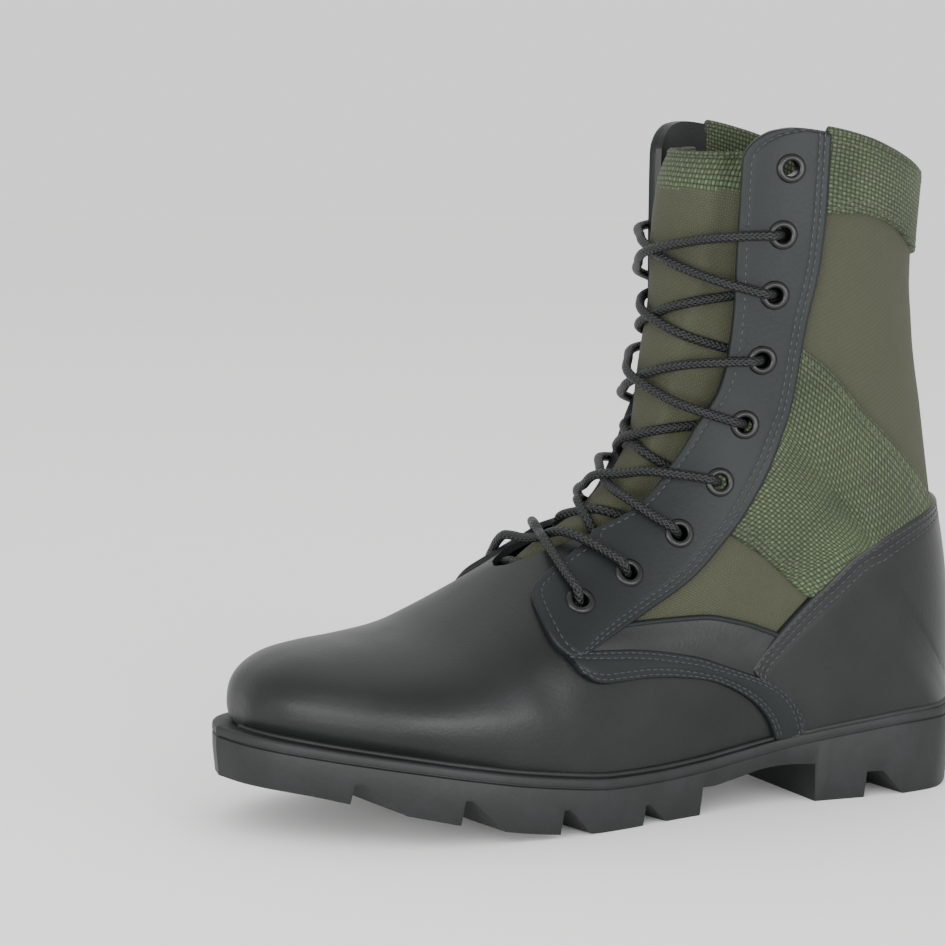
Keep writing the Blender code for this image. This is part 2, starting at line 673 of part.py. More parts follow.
def overlays(skin, leather, webbing):
    """Eyestays, heel counter, stitched bands, side panels, ankle straps and collar band."""
    eyestay = side_outline(EYESTAY_FRONT, EYESTAY_REAR)
    counter = side_outline(COUNTER_LINE) + [(y_of(-0.060), 0.0)]
    band = side_outline(BAND_TOP, BAND_LOW)
    panel = side_outline(PANEL_TOP, PANEL_LOW)
    strap = side_outline(STRAP_TOP, STRAP_LOW)
    collar = side_outline(COLLAR_BAND_LOW, (Spot(0.340, 1.100), Spot(-0.060, 1.100)))
    off_eyestay = outline_cutter(eyestay)
    off_counter = outline_cutter(counter)
    off_band = outline_cutter(band)
    overlay("heel_counter", skin, COUNTER_THICKNESS, counter, 0, (), leather)
    overlay("collar_band", skin, COLLAR_BAND_THICKNESS, collar, 0, (off_eyestay, collar_cutter), webbing)
    for tag, side in (("lateral", 1), ("medial", -1)):
        overlay("eyestay_" + tag, skin, EYESTAY_THICKNESS, eyestay, side, (throat_cutter, collar_cutter), leather)
        overlay("seam_band_" + tag, skin, BAND_THICKNESS, band, side, (off_eyestay, off_counter), leather)
        overlay("side_panel_" + tag, skin, PANEL_THICKNESS, panel, side,
                (off_eyestay, off_band, off_counter), leather)
        overlay("ankle_strap_" + tag, skin, STRAP_THICKNESS, strap, side, (off_eyestay, off_counter), webbing)


def place_on_skin(along, height, side):
    """Table places u and s of the point of the skin that the side view shows at a place."""
    y = y_of(along)
    z = height * BOOT_HEIGHT

    def ends(u):
        row = section_at(u)
        low = sole_top(max(row.foot, 0.0)) + SEAT_GAP + max(row.rise, 0.0) * BOOT_HEIGHT
        return row, y_of(row.foot), low, y_of(row.front), row.height * BOOT_HEIGHT

    def turn(u):
        _, y0, z0, y1, z1 = ends(u)
        return (y1 - y0) * (z - z0) - (z1 - z0) * (y - y0)

    low, high = 2.0, float(TOP_ROW)
    start = turn(low)
    for _ in range(50):
        middle = 0.5 * (low + high)
        if turn(middle) * start > 0:
            low = middle
        else:
            high = middle
    row, y0, z0, y1, z1 = ends(low)
    level = ((y - y0) * (y1 - y0) + (z - z0) * (z1 - z0)) / ((y1 - y0) ** 2 + (z1 - z0) ** 2)
    share = min(max((level - row.level) / (1.0 - row.level), 0.0), 1.0)
    angle = math.asin(share ** (0.5 * row.crown))
    q = 0.5 * (1.0 - angle / (0.5 * math.pi))
    return low, 0.5 * (1.0 - side * q)


def frame_at(u, s):
    """Point of the skin, its outward normal and its direction across the foot."""
    step = 1e-3
    here = last_point(u, s)
    along = last_point(u + step, s) - last_point(u - step, s)
    across = last_point(u, s + step) - last_point(u, s - step)
    return here, along.cross(across).normalized(), across.normalized()


def turned(name, profile, sides, place, axis, mat):
    """Closed ring turned from a profile of radius and height about an axis."""
    bm = bmesh.new()
    basis = axis.to_track_quat("Z", "Y").to_matrix()
    rings = []
    for i in range(sides):
        angle = 2.0 * math.pi * i / sides
        around = Vector((math.cos(angle), math.sin(angle), 0.0))
        rings.append([bm.verts.new(place + basis @ (around * r + Vector((0.0, 0.0, h)))) for r, h in profile])
    count = len(profile)
    for i in range(sides):
        j = (i + 1) % sides
        for k in range(count):
            m = (k + 1) % count
            bm.faces.new((rings[i][k], rings[i][m], rings[j][m], rings[j][k]))
    dress(finish_mesh(name, bm), mat, 40.0)


def circle(radius, sides):
    turns = [2.0 * math.pi * i / sides for i in range(sides)]
    return [(math.cos(turn) * radius, math.sin(turn) * radius) for turn in turns]


def eyelet_row(tag, side, upper, eyestay, mat):
    """Flanged eyelets of one side, each with its barrel through the eyestay and the upper."""
    bore = 0.5 * EYELET_BORE
    barrel = bore + EYELET_BARREL_WALL
    rim = 0.5 * EYELET_WIDTH
    face = SEAT_GAP + EYESTAY_THICKNESS
    for number, spot in enumerate(EYELET_SPOTS, 1):
        place, normal, _ = frame_at(*place_on_skin(spot.along, spot.height, side))
        seat = face + EYELET_SEAT
        profile = ((bore, -WALL), (barrel, -WALL), (barrel, seat), (rim, seat),
                   (rim - 0.5 * EYELET_FLANGE, seat + EYELET_FLANGE), (bore, seat + EYELET_FLANGE))
        turned("eyelet_" + tag + "_" + str(number), profile, EYELET_SIDES, place, normal, mat)
        for target in (upper, eyestay):
            hole = prism("hole", circle(barrel + PIECE_GAP, EYELET_SIDES), -HOLE_REACH, HOLE_REACH, "plan")
            hole.data.transform(normal.to_track_quat("Z", "Y").to_matrix().to_4x4())
            hole.location = place
            combine(target, hole, "DIFFERENCE")


def tube(name, points, radius):
    """Closed round cord along a line of points."""
    bm = bmesh.new()
    rings = []
    normal = None
    for i, here in enumerate(points):
        ahead = (points[min(i + 1, len(points) - 1)] - points[max(i - 1, 0)]).normalized()
        if normal is None:
            normal = ahead.orthogonal().normalized()
        normal = (normal - ahead * normal.dot(ahead)).normalized()
        other = ahead.cross(normal)
        rings.append([bm.verts.new(here + (normal * math.cos(a) + other * math.sin(a)) * radius)
                      for a in (2.0 * math.pi * k / LACE_SIDES for k in range(LACE_SIDES))])
    for a, b in zip(rings, rings[1:]):
        for k in range(LACE_SIDES):
            m = (k + 1) % LACE_SIDES
            bm.faces.new((a[k], a[m], b[m], b[k]))
    bm.faces.new(tuple(reversed(rings[0])))
    bm.faces.new(rings[-1])
    return finish_mesh(name, bm)


def throat_half(z):
    return spline(THROAT, z / BOOT_HEIGHT, "height", "half") * 0.5 * BALL_WIDTH


def throat_centre(z):
    return spline(THROAT, z / BOOT_HEIGHT, "height", "centre") * 0.5 * BALL_WIDTH


def straight_way(start, end):
    """Points and normals of the skin where a plane through two eyelets, square to the ridge, crosses it."""
    ends = [place_on_skin(spot.along, spot.height, side) for spot, side in ((start, 1.0), (end, -1.0))]
    (first_u, first_s), (last_u, last_s) = ends
    first = last_point(first_u, first_s)
    ridge_u = 0.5 * (first_u + last_u)
    ridge_normal = frame_at(ridge_u, 0.5)[1]
    across = (last_point(last_u, last_s) - first).cross(ridge_normal).normalized()
    sign = 1.0 if (last_point(ridge_u + 1.0, 0.5) - first).dot(across) > 0 else -1.0
    way = []
    for i in range(PATH_STEPS + 1):
        s = first_s + (last_s - first_s) * i / PATH_STEPS
        low, high = ridge_u - 4.0, min(ridge_u + 4.0, float(TOP_ROW))
        for _ in range(HALVINGS):
            middle = 0.5 * (low + high)
            if (last_point(middle, s) - first).dot(across) * sign > 0:
                high = middle
            else:
                low = middle
        here, normal, _ = frame_at(low, s)
        way.append((here, normal))
    return way


def strand(name, start, end, outer):
    """Strand between two eyelets, over the eyestays' edges or, as an inner one, between them."""
    radius = 0.5 * LACE_WIDTH
    over = SEAT_GAP + EYESTAY_THICKNESS + LACE_GAP + radius
    bed = -WALL - SEAT_GAP + LACE_GAP + radius
    points = []
    for here, normal in straight_way(start, end):
        inside = throat_half(here.z) - abs(here.x - throat_centre(here.z))
        if outer:
            share = min(max(inside / LACE_DIP, 0.0), 1.0)
            lift = over + (bed + LACE_RISE - over) * share**2 * (3.0 - 2.0 * share)
            points.append(here + normal * lift)
        elif inside > 0.75 * LACE_WIDTH:
            points.append(here + normal * bed)
    if outer:
        clear = 0.5 * EYELET_WIDTH + PIECE_GAP + 0.25 * LACE_WIDTH
        first, last = points[0], points[-1]
        points = [p for p in points if min((p - first).length, (p - last).length) > clear]
    kept = [points[round(i * (len(points) - 1) / LACE_STEPS)] for i in range(LACE_STEPS + 1)]
    return tube(name, kept, radius)


def laces(mat):
    """Crossings from the second eyelets down: every other one lies outside, the ones between pass inside."""
    for upper_row in range(1, len(EYELET_SPOTS) - 1):
        top, low = EYELET_SPOTS[upper_row], EYELET_SPOTS[upper_row + 1]
        outer = upper_row % 2 == 1
        cross = strand("lace_cross_" + str(upper_row), top, low, outer)
        combine(cross, strand("strand", low, top, outer), "UNION")
        dress(cross, mat, 60.0)
    dress(strand("lace_bar", EYELET_SPOTS[-1], EYELET_SPOTS[-1], False), mat, 60.0)


def main():
    for old in list(bpy.data.objects):
        bpy.data.objects.remove(old)
    rubber = material("black_sole_rubber", (0.028, 0.030, 0.030), 0.62)
    leather = material("black_waxed_leather", (0.032, 0.034, 0.036), 0.38)
    canvas = material("olive_canvas", (0.092, 0.095, 0.052), 0.88)
    webbing = material("green_nylon_webbing", (0.080, 0.110, 0.055), 0.78)
    lining = material("dark_insole_cloth", (0.040, 0.042, 0.036), 0.90)
    enamel = material("black_eyelet_enamel", (0.012, 0.012, 0.013), 0.32, 0.6)
    cord = material("black_lace", (0.020, 0.020, 0.022), 0.70)
    outsole(rubber)
    insole(lining)
    skin = last_skin()
    upper = shell_mesh("upper", skin, -WALL, 0.0)
    combine(upper, throat_cutter(), "DIFFERENCE")
    combine(upper, collar_cutter(), "DIFFERENCE")
    dress(upper, leather)
    back = -(WALL + SEAT_GAP)
    tongue = shell_mesh("tongue", skin, back - TONGUE_THICKNESS, back, TONGUE_RING)
    combine(tongue, throat_cutter(TONGUE_LAP), "INTERSECT")
    above_tongue = side_outline((Spot(-0.1, TONGUE_TOP), Spot(1.0, TONGUE_TOP), Spot(1.0, 1.3), Spot(-0.1, 1.3)))
    combine(tongue, prism("tongue_cut", above_tongue, -BALL_WIDTH, BALL_WIDTH, "side"), "DIFFERENCE")
    dress(tongue, canvas)
    overlays(skin, leather, webbing)
    for tag, side in (("lateral", 1.0), ("medial", -1.0)):
        eyelet_row(tag, side, upper, bpy.data.objects["eyestay_" + tag], enamel)
    laces(cord)


main()
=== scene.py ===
"""Looks of a left jungle boot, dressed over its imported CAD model.

Metres, +Z up. The toe points to -Y and the outer side of the foot is +X. Lengths along the foot are counted
forward from the back of the heel, as shares of the sole's length, and heights are shares of the boot's height.
"""
import math
from collections import namedtuple

import bpy
import numpy as np
from mathutils import Matrix, Vector


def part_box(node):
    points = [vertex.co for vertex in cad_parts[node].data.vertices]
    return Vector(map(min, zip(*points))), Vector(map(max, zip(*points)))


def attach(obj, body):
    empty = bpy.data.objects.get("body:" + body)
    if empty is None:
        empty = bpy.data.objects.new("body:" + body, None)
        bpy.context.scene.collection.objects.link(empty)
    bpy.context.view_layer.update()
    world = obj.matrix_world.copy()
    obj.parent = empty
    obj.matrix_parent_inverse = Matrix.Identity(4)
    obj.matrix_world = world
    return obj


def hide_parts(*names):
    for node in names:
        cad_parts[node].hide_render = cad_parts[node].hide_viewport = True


bl_info = {
    "name": "Jungle Boot",
    "version": (1, 0, 0),
    "blender": (4, 5, 0),
    "location": "View3D > Sidebar > Boot",
    "description": "Leather, canvas, webbing, rubber, eyelets, lace and stitches of a jungle boot",
    "category": "Object",
}

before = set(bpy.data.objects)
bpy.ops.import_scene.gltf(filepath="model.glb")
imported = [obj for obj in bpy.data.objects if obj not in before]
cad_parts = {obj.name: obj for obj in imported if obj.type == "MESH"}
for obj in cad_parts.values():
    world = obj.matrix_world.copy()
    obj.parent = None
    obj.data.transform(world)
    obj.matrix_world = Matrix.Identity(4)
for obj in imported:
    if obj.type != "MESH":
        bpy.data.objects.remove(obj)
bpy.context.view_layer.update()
SOLE_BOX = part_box("outsole")

# Sizes that the boot's forms are worked out from
SOLE_LENGTH = SOLE_BOX[1].y - SOLE_BOX[0].y
BALL_WIDTH = 0.110
HALF_BALL = 0.5 * BALL_WIDTH
HEEL_LENGTH = 0.079
HEEL_RISE = 0.032
BOOT_HEIGHT = 0.256
SEAT_GAP = 0.0005
WALL = 0.0024
LEDGE_WIDTH = 0.0045
TOE_LEDGE_WIDTH = 0.0075
LUG_DEPTH = 0.0080
LUG_DRAFT = 0.0014
CHANNEL_WIDTH = 0.0060
CHANNEL_START = 0.462
CHANNEL_END = 0.930
NOTCH_MOUTH = 0.0120
NOTCH_APEX = 0.0022
LUG_START = 0.432
BACK_POWER = 2.2
# Thicknesses of what is laid on the upper
EYESTAY_FACE = 0.0029
COUNTER_FACE = 0.0025
BAND_FACE = 0.0027
PANEL_FACE = 0.0014
STRAP_FACE = 0.0019
COLLAR_FACE = 0.0020
# Rows of stitches: distances from a piece's first edge or, if negative, from its second
EYESTAY_SEAMS = (0.0042, -0.0030, -0.0050)
COUNTER_SEAMS = (0.0018, 0.0036, 0.0058)
BAND_SEAMS = (0.0016, 0.0034, -0.0016, -0.0034)
STRAP_SEAMS = (0.0022, 0.0045, -0.0022, -0.0045)
COLLAR_SEAMS = (0.0030, -0.0022, -0.0045)
# Outer side, then inner side
BOTH_SIDES = (1.0, -1.0)
MM = 1000.0


def table(kind, *rows):
    return tuple(kind(*row) for row in rows)


# The sole's outline from above: both edges as shares of half the ball's width
Plan = namedtuple("Plan", "along lateral medial")
PLAN = table(
    Plan,
    (0.0, 0.0, 0.0), (0.007, 0.225, -0.225), (0.028, 0.45, -0.45), (0.075, 0.655, -0.655), (0.146, 0.718, -0.709),
    (0.227, 0.7, -0.655), (0.308, 0.682, -0.6), (0.39, 0.718, -0.591), (0.471, 0.8, -0.645), (0.552, 0.909, -0.764),
    (0.633, 0.982, -0.909), (0.698, 0.991, -1.0), (0.763, 0.955, -1.018), (0.828, 0.855, -0.973),
    (0.883, 0.709, -0.864), (0.932, 0.518, -0.7), (0.968, 0.309, -0.52), (0.99, 0.09, -0.33), (1.0, -0.127, -0.127),
)

# The sole's side: its top and its tread as shares of the heel's height
Side = namedtuple("Side", "along top tread")
SIDE = table(
    Side,
    (0.0, 1.025, 0.025), (0.06, 1.01, 0.0), (0.13, 0.995, 0.0), (0.19, 0.94, 0.0), (0.26, 0.862, 0.0),
    (0.312, 0.79, 0.0), (0.377, 0.7, 0.0), (0.43, 0.64, 0.0), (0.5, 0.61, 0.0), (0.57, 0.62, 0.0),
    (0.63, 0.68, 0.03), (0.69, 0.755, 0.095), (0.763, 0.865, 0.215), (0.83, 0.965, 0.345), (0.893, 1.045, 0.47),
    (0.941, 1.1, 0.545), (1.0, 1.16, 0.59),
)

# The tread's line between the heel and the first lug behind it
Arch = namedtuple("Arch", "along height")
ARCH = table(
    Arch,
    (0.258, 0.455), (0.3, 0.475), (0.335, 0.455), (0.37, 0.39), (0.408, 0.325),
)

# Notches in the tread's edge: width at the apex and depth as multiples, lean, and reach toward the middle
Notch = namedtuple("Notch", "along apex depth lean reach")
NOTCHES = table(
    Notch,
    (0.174, 3.2, 1.25, 0.1, 0.52), (0.518, 1.0, 0.95, 0.26, 0.86), (0.64, 1.0, 1.15, 0.26, 0.86),
    (0.766, 1.0, 1.2, 0.26, 0.86), (0.884, 1.0, 0.95, 0.2, 0.84),
)

# Rings of the upper from toe to collar: place of the foot, its rise, place and height of the front, ridge, half
# widths of both sides, level of the widest place, and roundness of the crown
Section = namedtuple("Section", "foot rise front height ridge lateral medial level crown")
SECTIONS = table(
    Section,
    (0.9735, 0.0, 0.974, 0.174, -0.127, 0.01, -0.26, 0.45, 2.4),
    (0.97, 0.0, 0.971, 0.194, -0.127, 0.1, -0.35, 0.42, 2.4),
    (0.96, 0.0, 0.961, 0.215, -0.127, 0.22, -0.47, 0.38, 2.4),
    (0.942, 0.0, 0.942, 0.231, -0.125, 0.38, -0.6, 0.35, 2.4),
    (0.914, 0.0, 0.912, 0.244, -0.12, 0.545, -0.74, 0.32, 2.4),
    (0.874, 0.0, 0.87, 0.252, -0.115, 0.7, -0.86, 0.3, 2.35),
    (0.825, 0.0, 0.818, 0.259, -0.11, 0.83, -0.945, 0.29, 2.3),
    (0.766, 0.0, 0.76, 0.274, -0.105, 0.915, -0.975, 0.28, 2.25),
    (0.698, 0.0, 0.698, 0.311, -0.1, 0.95, -0.95, 0.28, 2.15),
    (0.617, 0.0, 0.643, 0.353, -0.09, 0.925, -0.83, 0.28, 2.05),
    (0.536, 0.0, 0.592, 0.395, -0.07, 0.845, -0.72, 0.29, 2.0),
    (0.455, 0.0, 0.546, 0.432, -0.045, 0.765, -0.665, 0.31, 2.0),
    (0.367, 0.0, 0.51, 0.472, -0.025, 0.72, -0.65, 0.34, 2.05),
    (0.276, 0.0, 0.486, 0.512, -0.01, 0.702, -0.66, 0.38, 2.1),
    (0.188, 0.0, 0.473, 0.555, 0.0, 0.692, -0.675, 0.41, 2.15),
    (0.104, 0.0, 0.466, 0.6, 0.0, 0.686, -0.68, 0.43, 2.2),
    (0.045, 0.0, 0.461, 0.648, 0.0, 0.69, -0.69, 0.45, 2.2),
    (0.0205, 0.0, 0.457, 0.695, 0.0, 0.7, -0.7, 0.46, 2.2),
    (0.0146, 0.0, 0.453, 0.74, 0.0, 0.712, -0.71, 0.47, 2.2),
    (0.016, 0.075, 0.45, 0.785, 0.0, 0.728, -0.725, 0.48, 2.2),
    (0.026, 0.17, 0.447, 0.83, 0.0, 0.742, -0.74, 0.49, 2.2),
    (0.046, 0.285, 0.444, 0.875, 0.0, 0.755, -0.752, 0.5, 2.2),
    (0.068, 0.415, 0.441, 0.92, 0.0, 0.765, -0.762, 0.5, 2.2),
    (0.089, 0.545, 0.438, 0.965, 0.0, 0.775, -0.772, 0.5, 2.2),
    (0.1, 0.675, 0.435, 1.005, 0.0, 0.785, -0.782, 0.5, 2.2),
    (0.096, 0.795, 0.432, 1.04, 0.0, 0.795, -0.792, 0.5, 2.2),
    (0.085, 0.9, 0.429, 1.08, 0.0, 0.805, -0.802, 0.5, 2.2),
)
SECTION_ROWS = np.array(SECTIONS)
HEEL_ROW = sum(1 for row in SECTIONS if row.rise == 0.0) - 1
TOP_ROW = len(SECTIONS) - 1

# The throat's opening: its centre and half width as shares of half the ball's width
Throat = namedtuple("Throat", "height centre half")
THROAT = table(
    Throat,
    (0.35, -0.1, 0.02), (0.356, -0.1, 0.11), (0.368, -0.095, 0.19), (0.386, -0.08, 0.275), (0.408, -0.06, 0.345),
    (0.44, -0.04, 0.385), (0.49, -0.02, 0.395), (0.55, 0.0, 0.42), (0.62, 0.0, 0.485), (0.72, 0.0, 0.525),
    (0.82, 0.0, 0.545), (0.95, 0.0, 0.565), (1.12, 0.0, 0.58),
)
THROAT_FLOOR = 0.352
COUNTER_TOP = 0.4455
TONGUE_TOP = 0.952

# Lines of the pattern in the side view
COLLAR_LINE = ((-0.060, 0.915), (0.080, 0.922), (0.125, 0.932), (0.162, 0.947), (0.200, 0.963), (0.240, 0.978),
               (0.294, 0.991), (0.338, 0.996), (0.363, 0.991), (0.382, 0.975), (0.395, 0.948), (0.440, 0.890),
               (0.620, 0.780))
COLLAR_LOW = ((-0.060, 0.800), (0.080, 0.803), (0.120, 0.812), (0.150, 0.831), (0.180, 0.852), (0.215, 0.867),
              (0.251, 0.874), (0.340, 0.873))
EYESTAY_TOP = ((0.338, 0.996), (0.352, 0.994), (0.363, 0.991), (0.374, 0.984), (0.382, 0.975), (0.389, 0.962))
EYESTAY_TIP = ((0.556, 0.395), (0.575, 0.381), (0.608, 0.357), (0.632, 0.338), (0.643, 0.328), (0.649, 0.315),
               (0.651, 0.298), (0.650, 0.280), (0.644, 0.262), (0.628, 0.245))
EYESTAY_REAR = ((0.294, 0.991), (0.294, 0.893), (0.297, 0.807), (0.310, 0.705), (0.318, 0.602), (0.337, 0.513),
                (0.370, 0.441), (0.405, 0.392), (0.448, 0.344), (0.506, 0.305), (0.570, 0.270), (0.606, 0.251))
PANEL_TOP = ((0.590, 0.283), (0.538, 0.287), (0.438, 0.291), (0.382, 0.280), (0.320, 0.254))
PANEL_LOW = ((0.622, 0.240), (0.590, 0.232), (0.530, 0.228), (0.440, 0.215), (0.380, 0.190), (0.325, 0.175))
BAND_TOP = ((0.640, 0.258), (0.615, 0.257), (0.556, 0.255), (0.455, 0.238), (0.390, 0.213), (0.350, 0.196),
            (0.322, 0.180), (0.294, 0.150), (0.275, 0.100), (0.264, 0.040))
BAND_LOW = ((0.618, 0.226), (0.598, 0.213), (0.580, 0.210), (0.531, 0.211), (0.440, 0.201), (0.372, 0.169),
            (0.335, 0.130), (0.316, 0.088), (0.296, 0.040))
COUNTER_LINE = ((0.272, 0.040), (0.285, 0.100), (0.304, 0.148), (0.335, 0.181), (0.356, 0.197), (0.366, 0.209),
                (0.360, 0.224), (0.345, 0.243), (0.288, 0.306), (0.211, 0.380), (0.146, 0.417), (0.090, 0.436),
                (0.050, 0.445))
STRAP_TOP = ((0.342, 0.706), (0.310, 0.677), (0.280, 0.652), (0.227, 0.590), (0.160, 0.523), (0.104, 0.464),
             (0.070, 0.425))
STRAP_LOW = ((0.440, 0.450), (0.381, 0.396), (0.354, 0.376), (0.287, 0.312), (0.240, 0.285), (0.180, 0.270),
             (0.120, 0.260))
CANVAS_EDGE = ((-0.10, 1.20), (-0.10, 0.10), (0.25, 0.10), (0.30, 0.125), (0.35, 0.165), (0.40, 0.194),
               (0.455, 0.220), (0.53, 0.231), (0.60, 0.238), (0.622, 0.262), (0.610, 0.302), (0.57, 0.328),
               (0.52, 0.365), (0.47, 0.415), (0.43, 0.50), (0.40, 0.62), (0.39, 0.80), (0.50, 1.20))
EYELET_SPOTS = ((0.342, 0.938), (0.346, 0.843), (0.350, 0.756), (0.358, 0.661), (0.374, 0.566), (0.405, 0.481),
                (0.458, 0.407), (0.528, 0.352), (0.598, 0.316))


class Curve:
    """Smooth curve through points, without overshoot."""

    def __init__(self, x, y):
        self.x = np.array(x, float)
        self.y = np.array(y, float)
        self.h = np.diff(self.x)
        d = np.diff(self.y) / self.h
        self.slope = np.zeros(len(self.x))
        self.slope[0], self.slope[-1] = d[0], d[-1]
        for i in range(1, len(self.x) - 1):
            if d[i - 1] * d[i] > 0:
                w1 = 2 * self.h[i] + self.h[i - 1]
                w2 = self.h[i] + 2 * self.h[i - 1]
                self.slope[i] = (w1 + w2) / (w1 / d[i - 1] + w2 / d[i])

    def __call__(self, where):
        where = np.asarray(where, float)
        i = np.clip(np.searchsorted(self.x, where) - 1, 0, len(self.x) - 2)
        h = self.h[i]
        t = np.clip((where - self.x[i]) / h, 0.0, 1.0)
        return ((2 * t**3 - 3 * t**2 + 1) * self.y[i] + (t**3 - 2 * t**2 + t) * h * self.slope[i]
                + (3 * t**2 - 2 * t**3) * self.y[i + 1] + (t**3 - t**2) * h * self.slope[i + 1])


def table_curve(rows, axis, column):
    return Curve([getattr(r, axis) for r in rows], [getattr(r, column) for r in rows])


PLAN_LATERAL = table_curve(PLAN, "along", "lateral")
PLAN_MEDIAL = table_curve(PLAN, "along", "medial")
SIDE_TOP = table_curve(SIDE, "along", "top")
SIDE_TREAD = table_curve(SIDE, "along", "tread")
ARCH_HEIGHT = table_curve(ARCH, "along", "height")
THROAT_CENTRE = table_curve(THROAT, "height", "centre")
THROAT_HALF = table_curve(THROAT, "height", "half")
COLLAR_HEIGHT = Curve(*zip(*COLLAR_LINE))
COLLAR_LOW_HEIGHT = Curve(*zip(*COLLAR_LOW))


def y_of(along):
    return (0.5 - along) * SOLE_LENGTH


def along_of(y):
    return 0.5 - y / SOLE_LENGTH


def ledge(along):
    """Width of the ledge between the upper and the sole's edge."""
    return LEDGE_WIDTH + (TOE_LEDGE_WIDTH - LEDGE_WIDTH) * ease((along - 0.75) / 0.25)


def plan_edge(along, side, inset=0.0):
    """Edge of the sole's outline, moved inward by an inset that keeps its ends round."""
    half = 0.5 * SOLE_LENGTH
    share = np.clip(0.5 + (along - 0.5) * half / (half - inset), 0.0, 1.0)
    lateral, medial = PLAN_LATERAL(share), PLAN_MEDIAL(share)
    centre = 0.5 * (lateral + medial)
    reach = np.where(side > 0, lateral, medial) - centre
    return (centre + reach * (1.0 - inset / HALF_BALL)) * HALF_BALL


def sole_top(along):
    return SIDE_TOP(along) * HEEL_RISE


def tread(along):
    """Height of the tread or, between heel and last lug, of the arch."""
    arch = (along > HEEL_LENGTH / SOLE_LENGTH) & (along < LUG_START)
    return np.where(arch, ARCH_HEIGHT(along), SIDE_TREAD(along)) * HEEL_RISE


def through(p0, p1, p2, p3, t):
    """Smooth curve from p1 to p2, its ends headed by the outer two points."""
    return 0.5 * (2 * p1 + (p2 - p0) * t + (2 * p0 - 5 * p1 + 4 * p2 - p3) * t**2
                  + (3 * p1 - p0 - 3 * p2 + p3) * t**3)


def section_at(u):
    """Columns of the section table at places u, from a smooth curve through its rows."""
    u = np.asarray(u, float)
    last = TOP_ROW
    i = np.clip(np.floor(u).astype(int), 0, last - 1)
    t = (u - i)[..., None]
    p0, p1 = SECTION_ROWS[np.maximum(i - 1, 0)], SECTION_ROWS[i]
    p2, p3 = SECTION_ROWS[i + 1], SECTION_ROWS[np.minimum(i + 2, last)]
    return Section(*np.moveaxis(through(p0, p1, p2, p3, t), -1, 0))


def foot_height(row):
    """Height at which a ring starts: on the sole, or higher up the back line."""
    return sole_top(np.maximum(row.foot, 0.0)) + SEAT_GAP + np.maximum(row.rise, 0.0) * BOOT_HEIGHT


def face_points(u, s):
    """Points of the upper's outer face. u runs from toe to collar. s runs from the outer side's foot over the
    ridge to the inner side's, and behind the ankle it goes on past the back line below 0 and above 1.
    Known fault: s = 1 wraps to 0 too, so points meant for the inner side's foot line land on the outer side's."""
    u, s = np.broadcast_arrays(np.asarray(u, float), np.asarray(s, float))
    s = np.mod(s + 1e-12, 1.0)
    row = section_at(u)
    side = np.where(s < 0.5, 1.0, -1.0)
    low_z = foot_height(row)
    foot = np.where(u >= HEEL_ROW, 0.0, plan_edge(row.foot, side, ledge(row.foot)))
    ridge = row.ridge * HALF_BALL
    wide = np.where(side > 0, row.lateral, row.medial) * HALF_BALL
    q = np.abs(2.0 * s - 1.0)
    up = np.clip(0.5 * np.pi * (1.0 - 2.0 * q), 0.0, 0.5 * np.pi)
    down = np.clip(0.5 * np.pi * (2.0 * q - 1.0), 0.0, 0.5 * np.pi)
    closing = np.clip(1.0 - (foot - ridge) / (wide - ridge), 0.0, 1.0) ** 2
    x_up = ridge + (wide - ridge) * np.cos(up) ** (2.0 / row.crown)
    x_down = foot + (wide - foot) * np.cos(down) ** (2.0 / (1.0 + (BACK_POWER - 1.0) * closing))
    level_up = row.level + (1.0 - row.level) * np.sin(up) ** (2.0 / row.crown)
    level_down = row.level * (1.0 - np.sin(down))
    x = np.where(q < 0.5, x_up, x_down)
    level = np.where(q < 0.5, level_up, level_down)
    along = row.foot + (row.front - row.foot) * level
    z = low_z + (row.height * BOOT_HEIGHT - low_z) * level
    return np.stack((x, y_of(along), z), axis=-1)


def unit(v):
    return v / np.maximum(np.linalg.norm(v, axis=-1, keepdims=True), 1e-12)


def face_normals(u, s):
    """Outward normals of the upper's face."""
    u, s = np.broadcast_arrays(np.asarray(u, float), np.asarray(s, float))
    du, ds = 0.02, 0.004
    foot = u < HEEL_ROW
    s_low = np.where(foot, np.maximum(s - ds, 0.0), s - ds)
    s_high = np.where(foot, np.minimum(s + ds, 1.0), s + ds)
    along = face_points(np.minimum(u + du, TOP_ROW), s) - face_points(np.maximum(u - du, 0.0), s)
    across = face_points(u, s_high) - face_points(u, s_low)
    return unit(np.cross(along, across))


def on_face(places):
    return face_points(places[..., 0], places[..., 1])


def normals_on(places):
    return face_normals(places[..., 0], places[..., 1])


def lengths(points):
    """Length run along a line of points, at each of them."""
    return np.concatenate(([0.0], np.cumsum(np.linalg.norm(np.diff(points, axis=0), axis=1))))


def read_along(where, steps, values):
    """Columns of values that belong to lengths along a line, read at other lengths."""
    return np.stack([np.interp(where, steps, column) for column in values.T], axis=-1)


def ease(share):
    """Smooth step from 0 to 1."""
    share = np.clip(share, 0.0, 1.0)
    return share**2 * (3.0 - 2.0 * share)


def halving(test, low, high, steps=36):
    """Place between low and high where a test turns from false to true."""
    low, high = np.array(low, float), np.array(high, float)
    for _ in range(steps):
        middle = 0.5 * (low + high)
        past = test(middle)
        high = np.where(past, middle, high)
        low = np.where(past, low, middle)
    return 0.5 * (low + high)


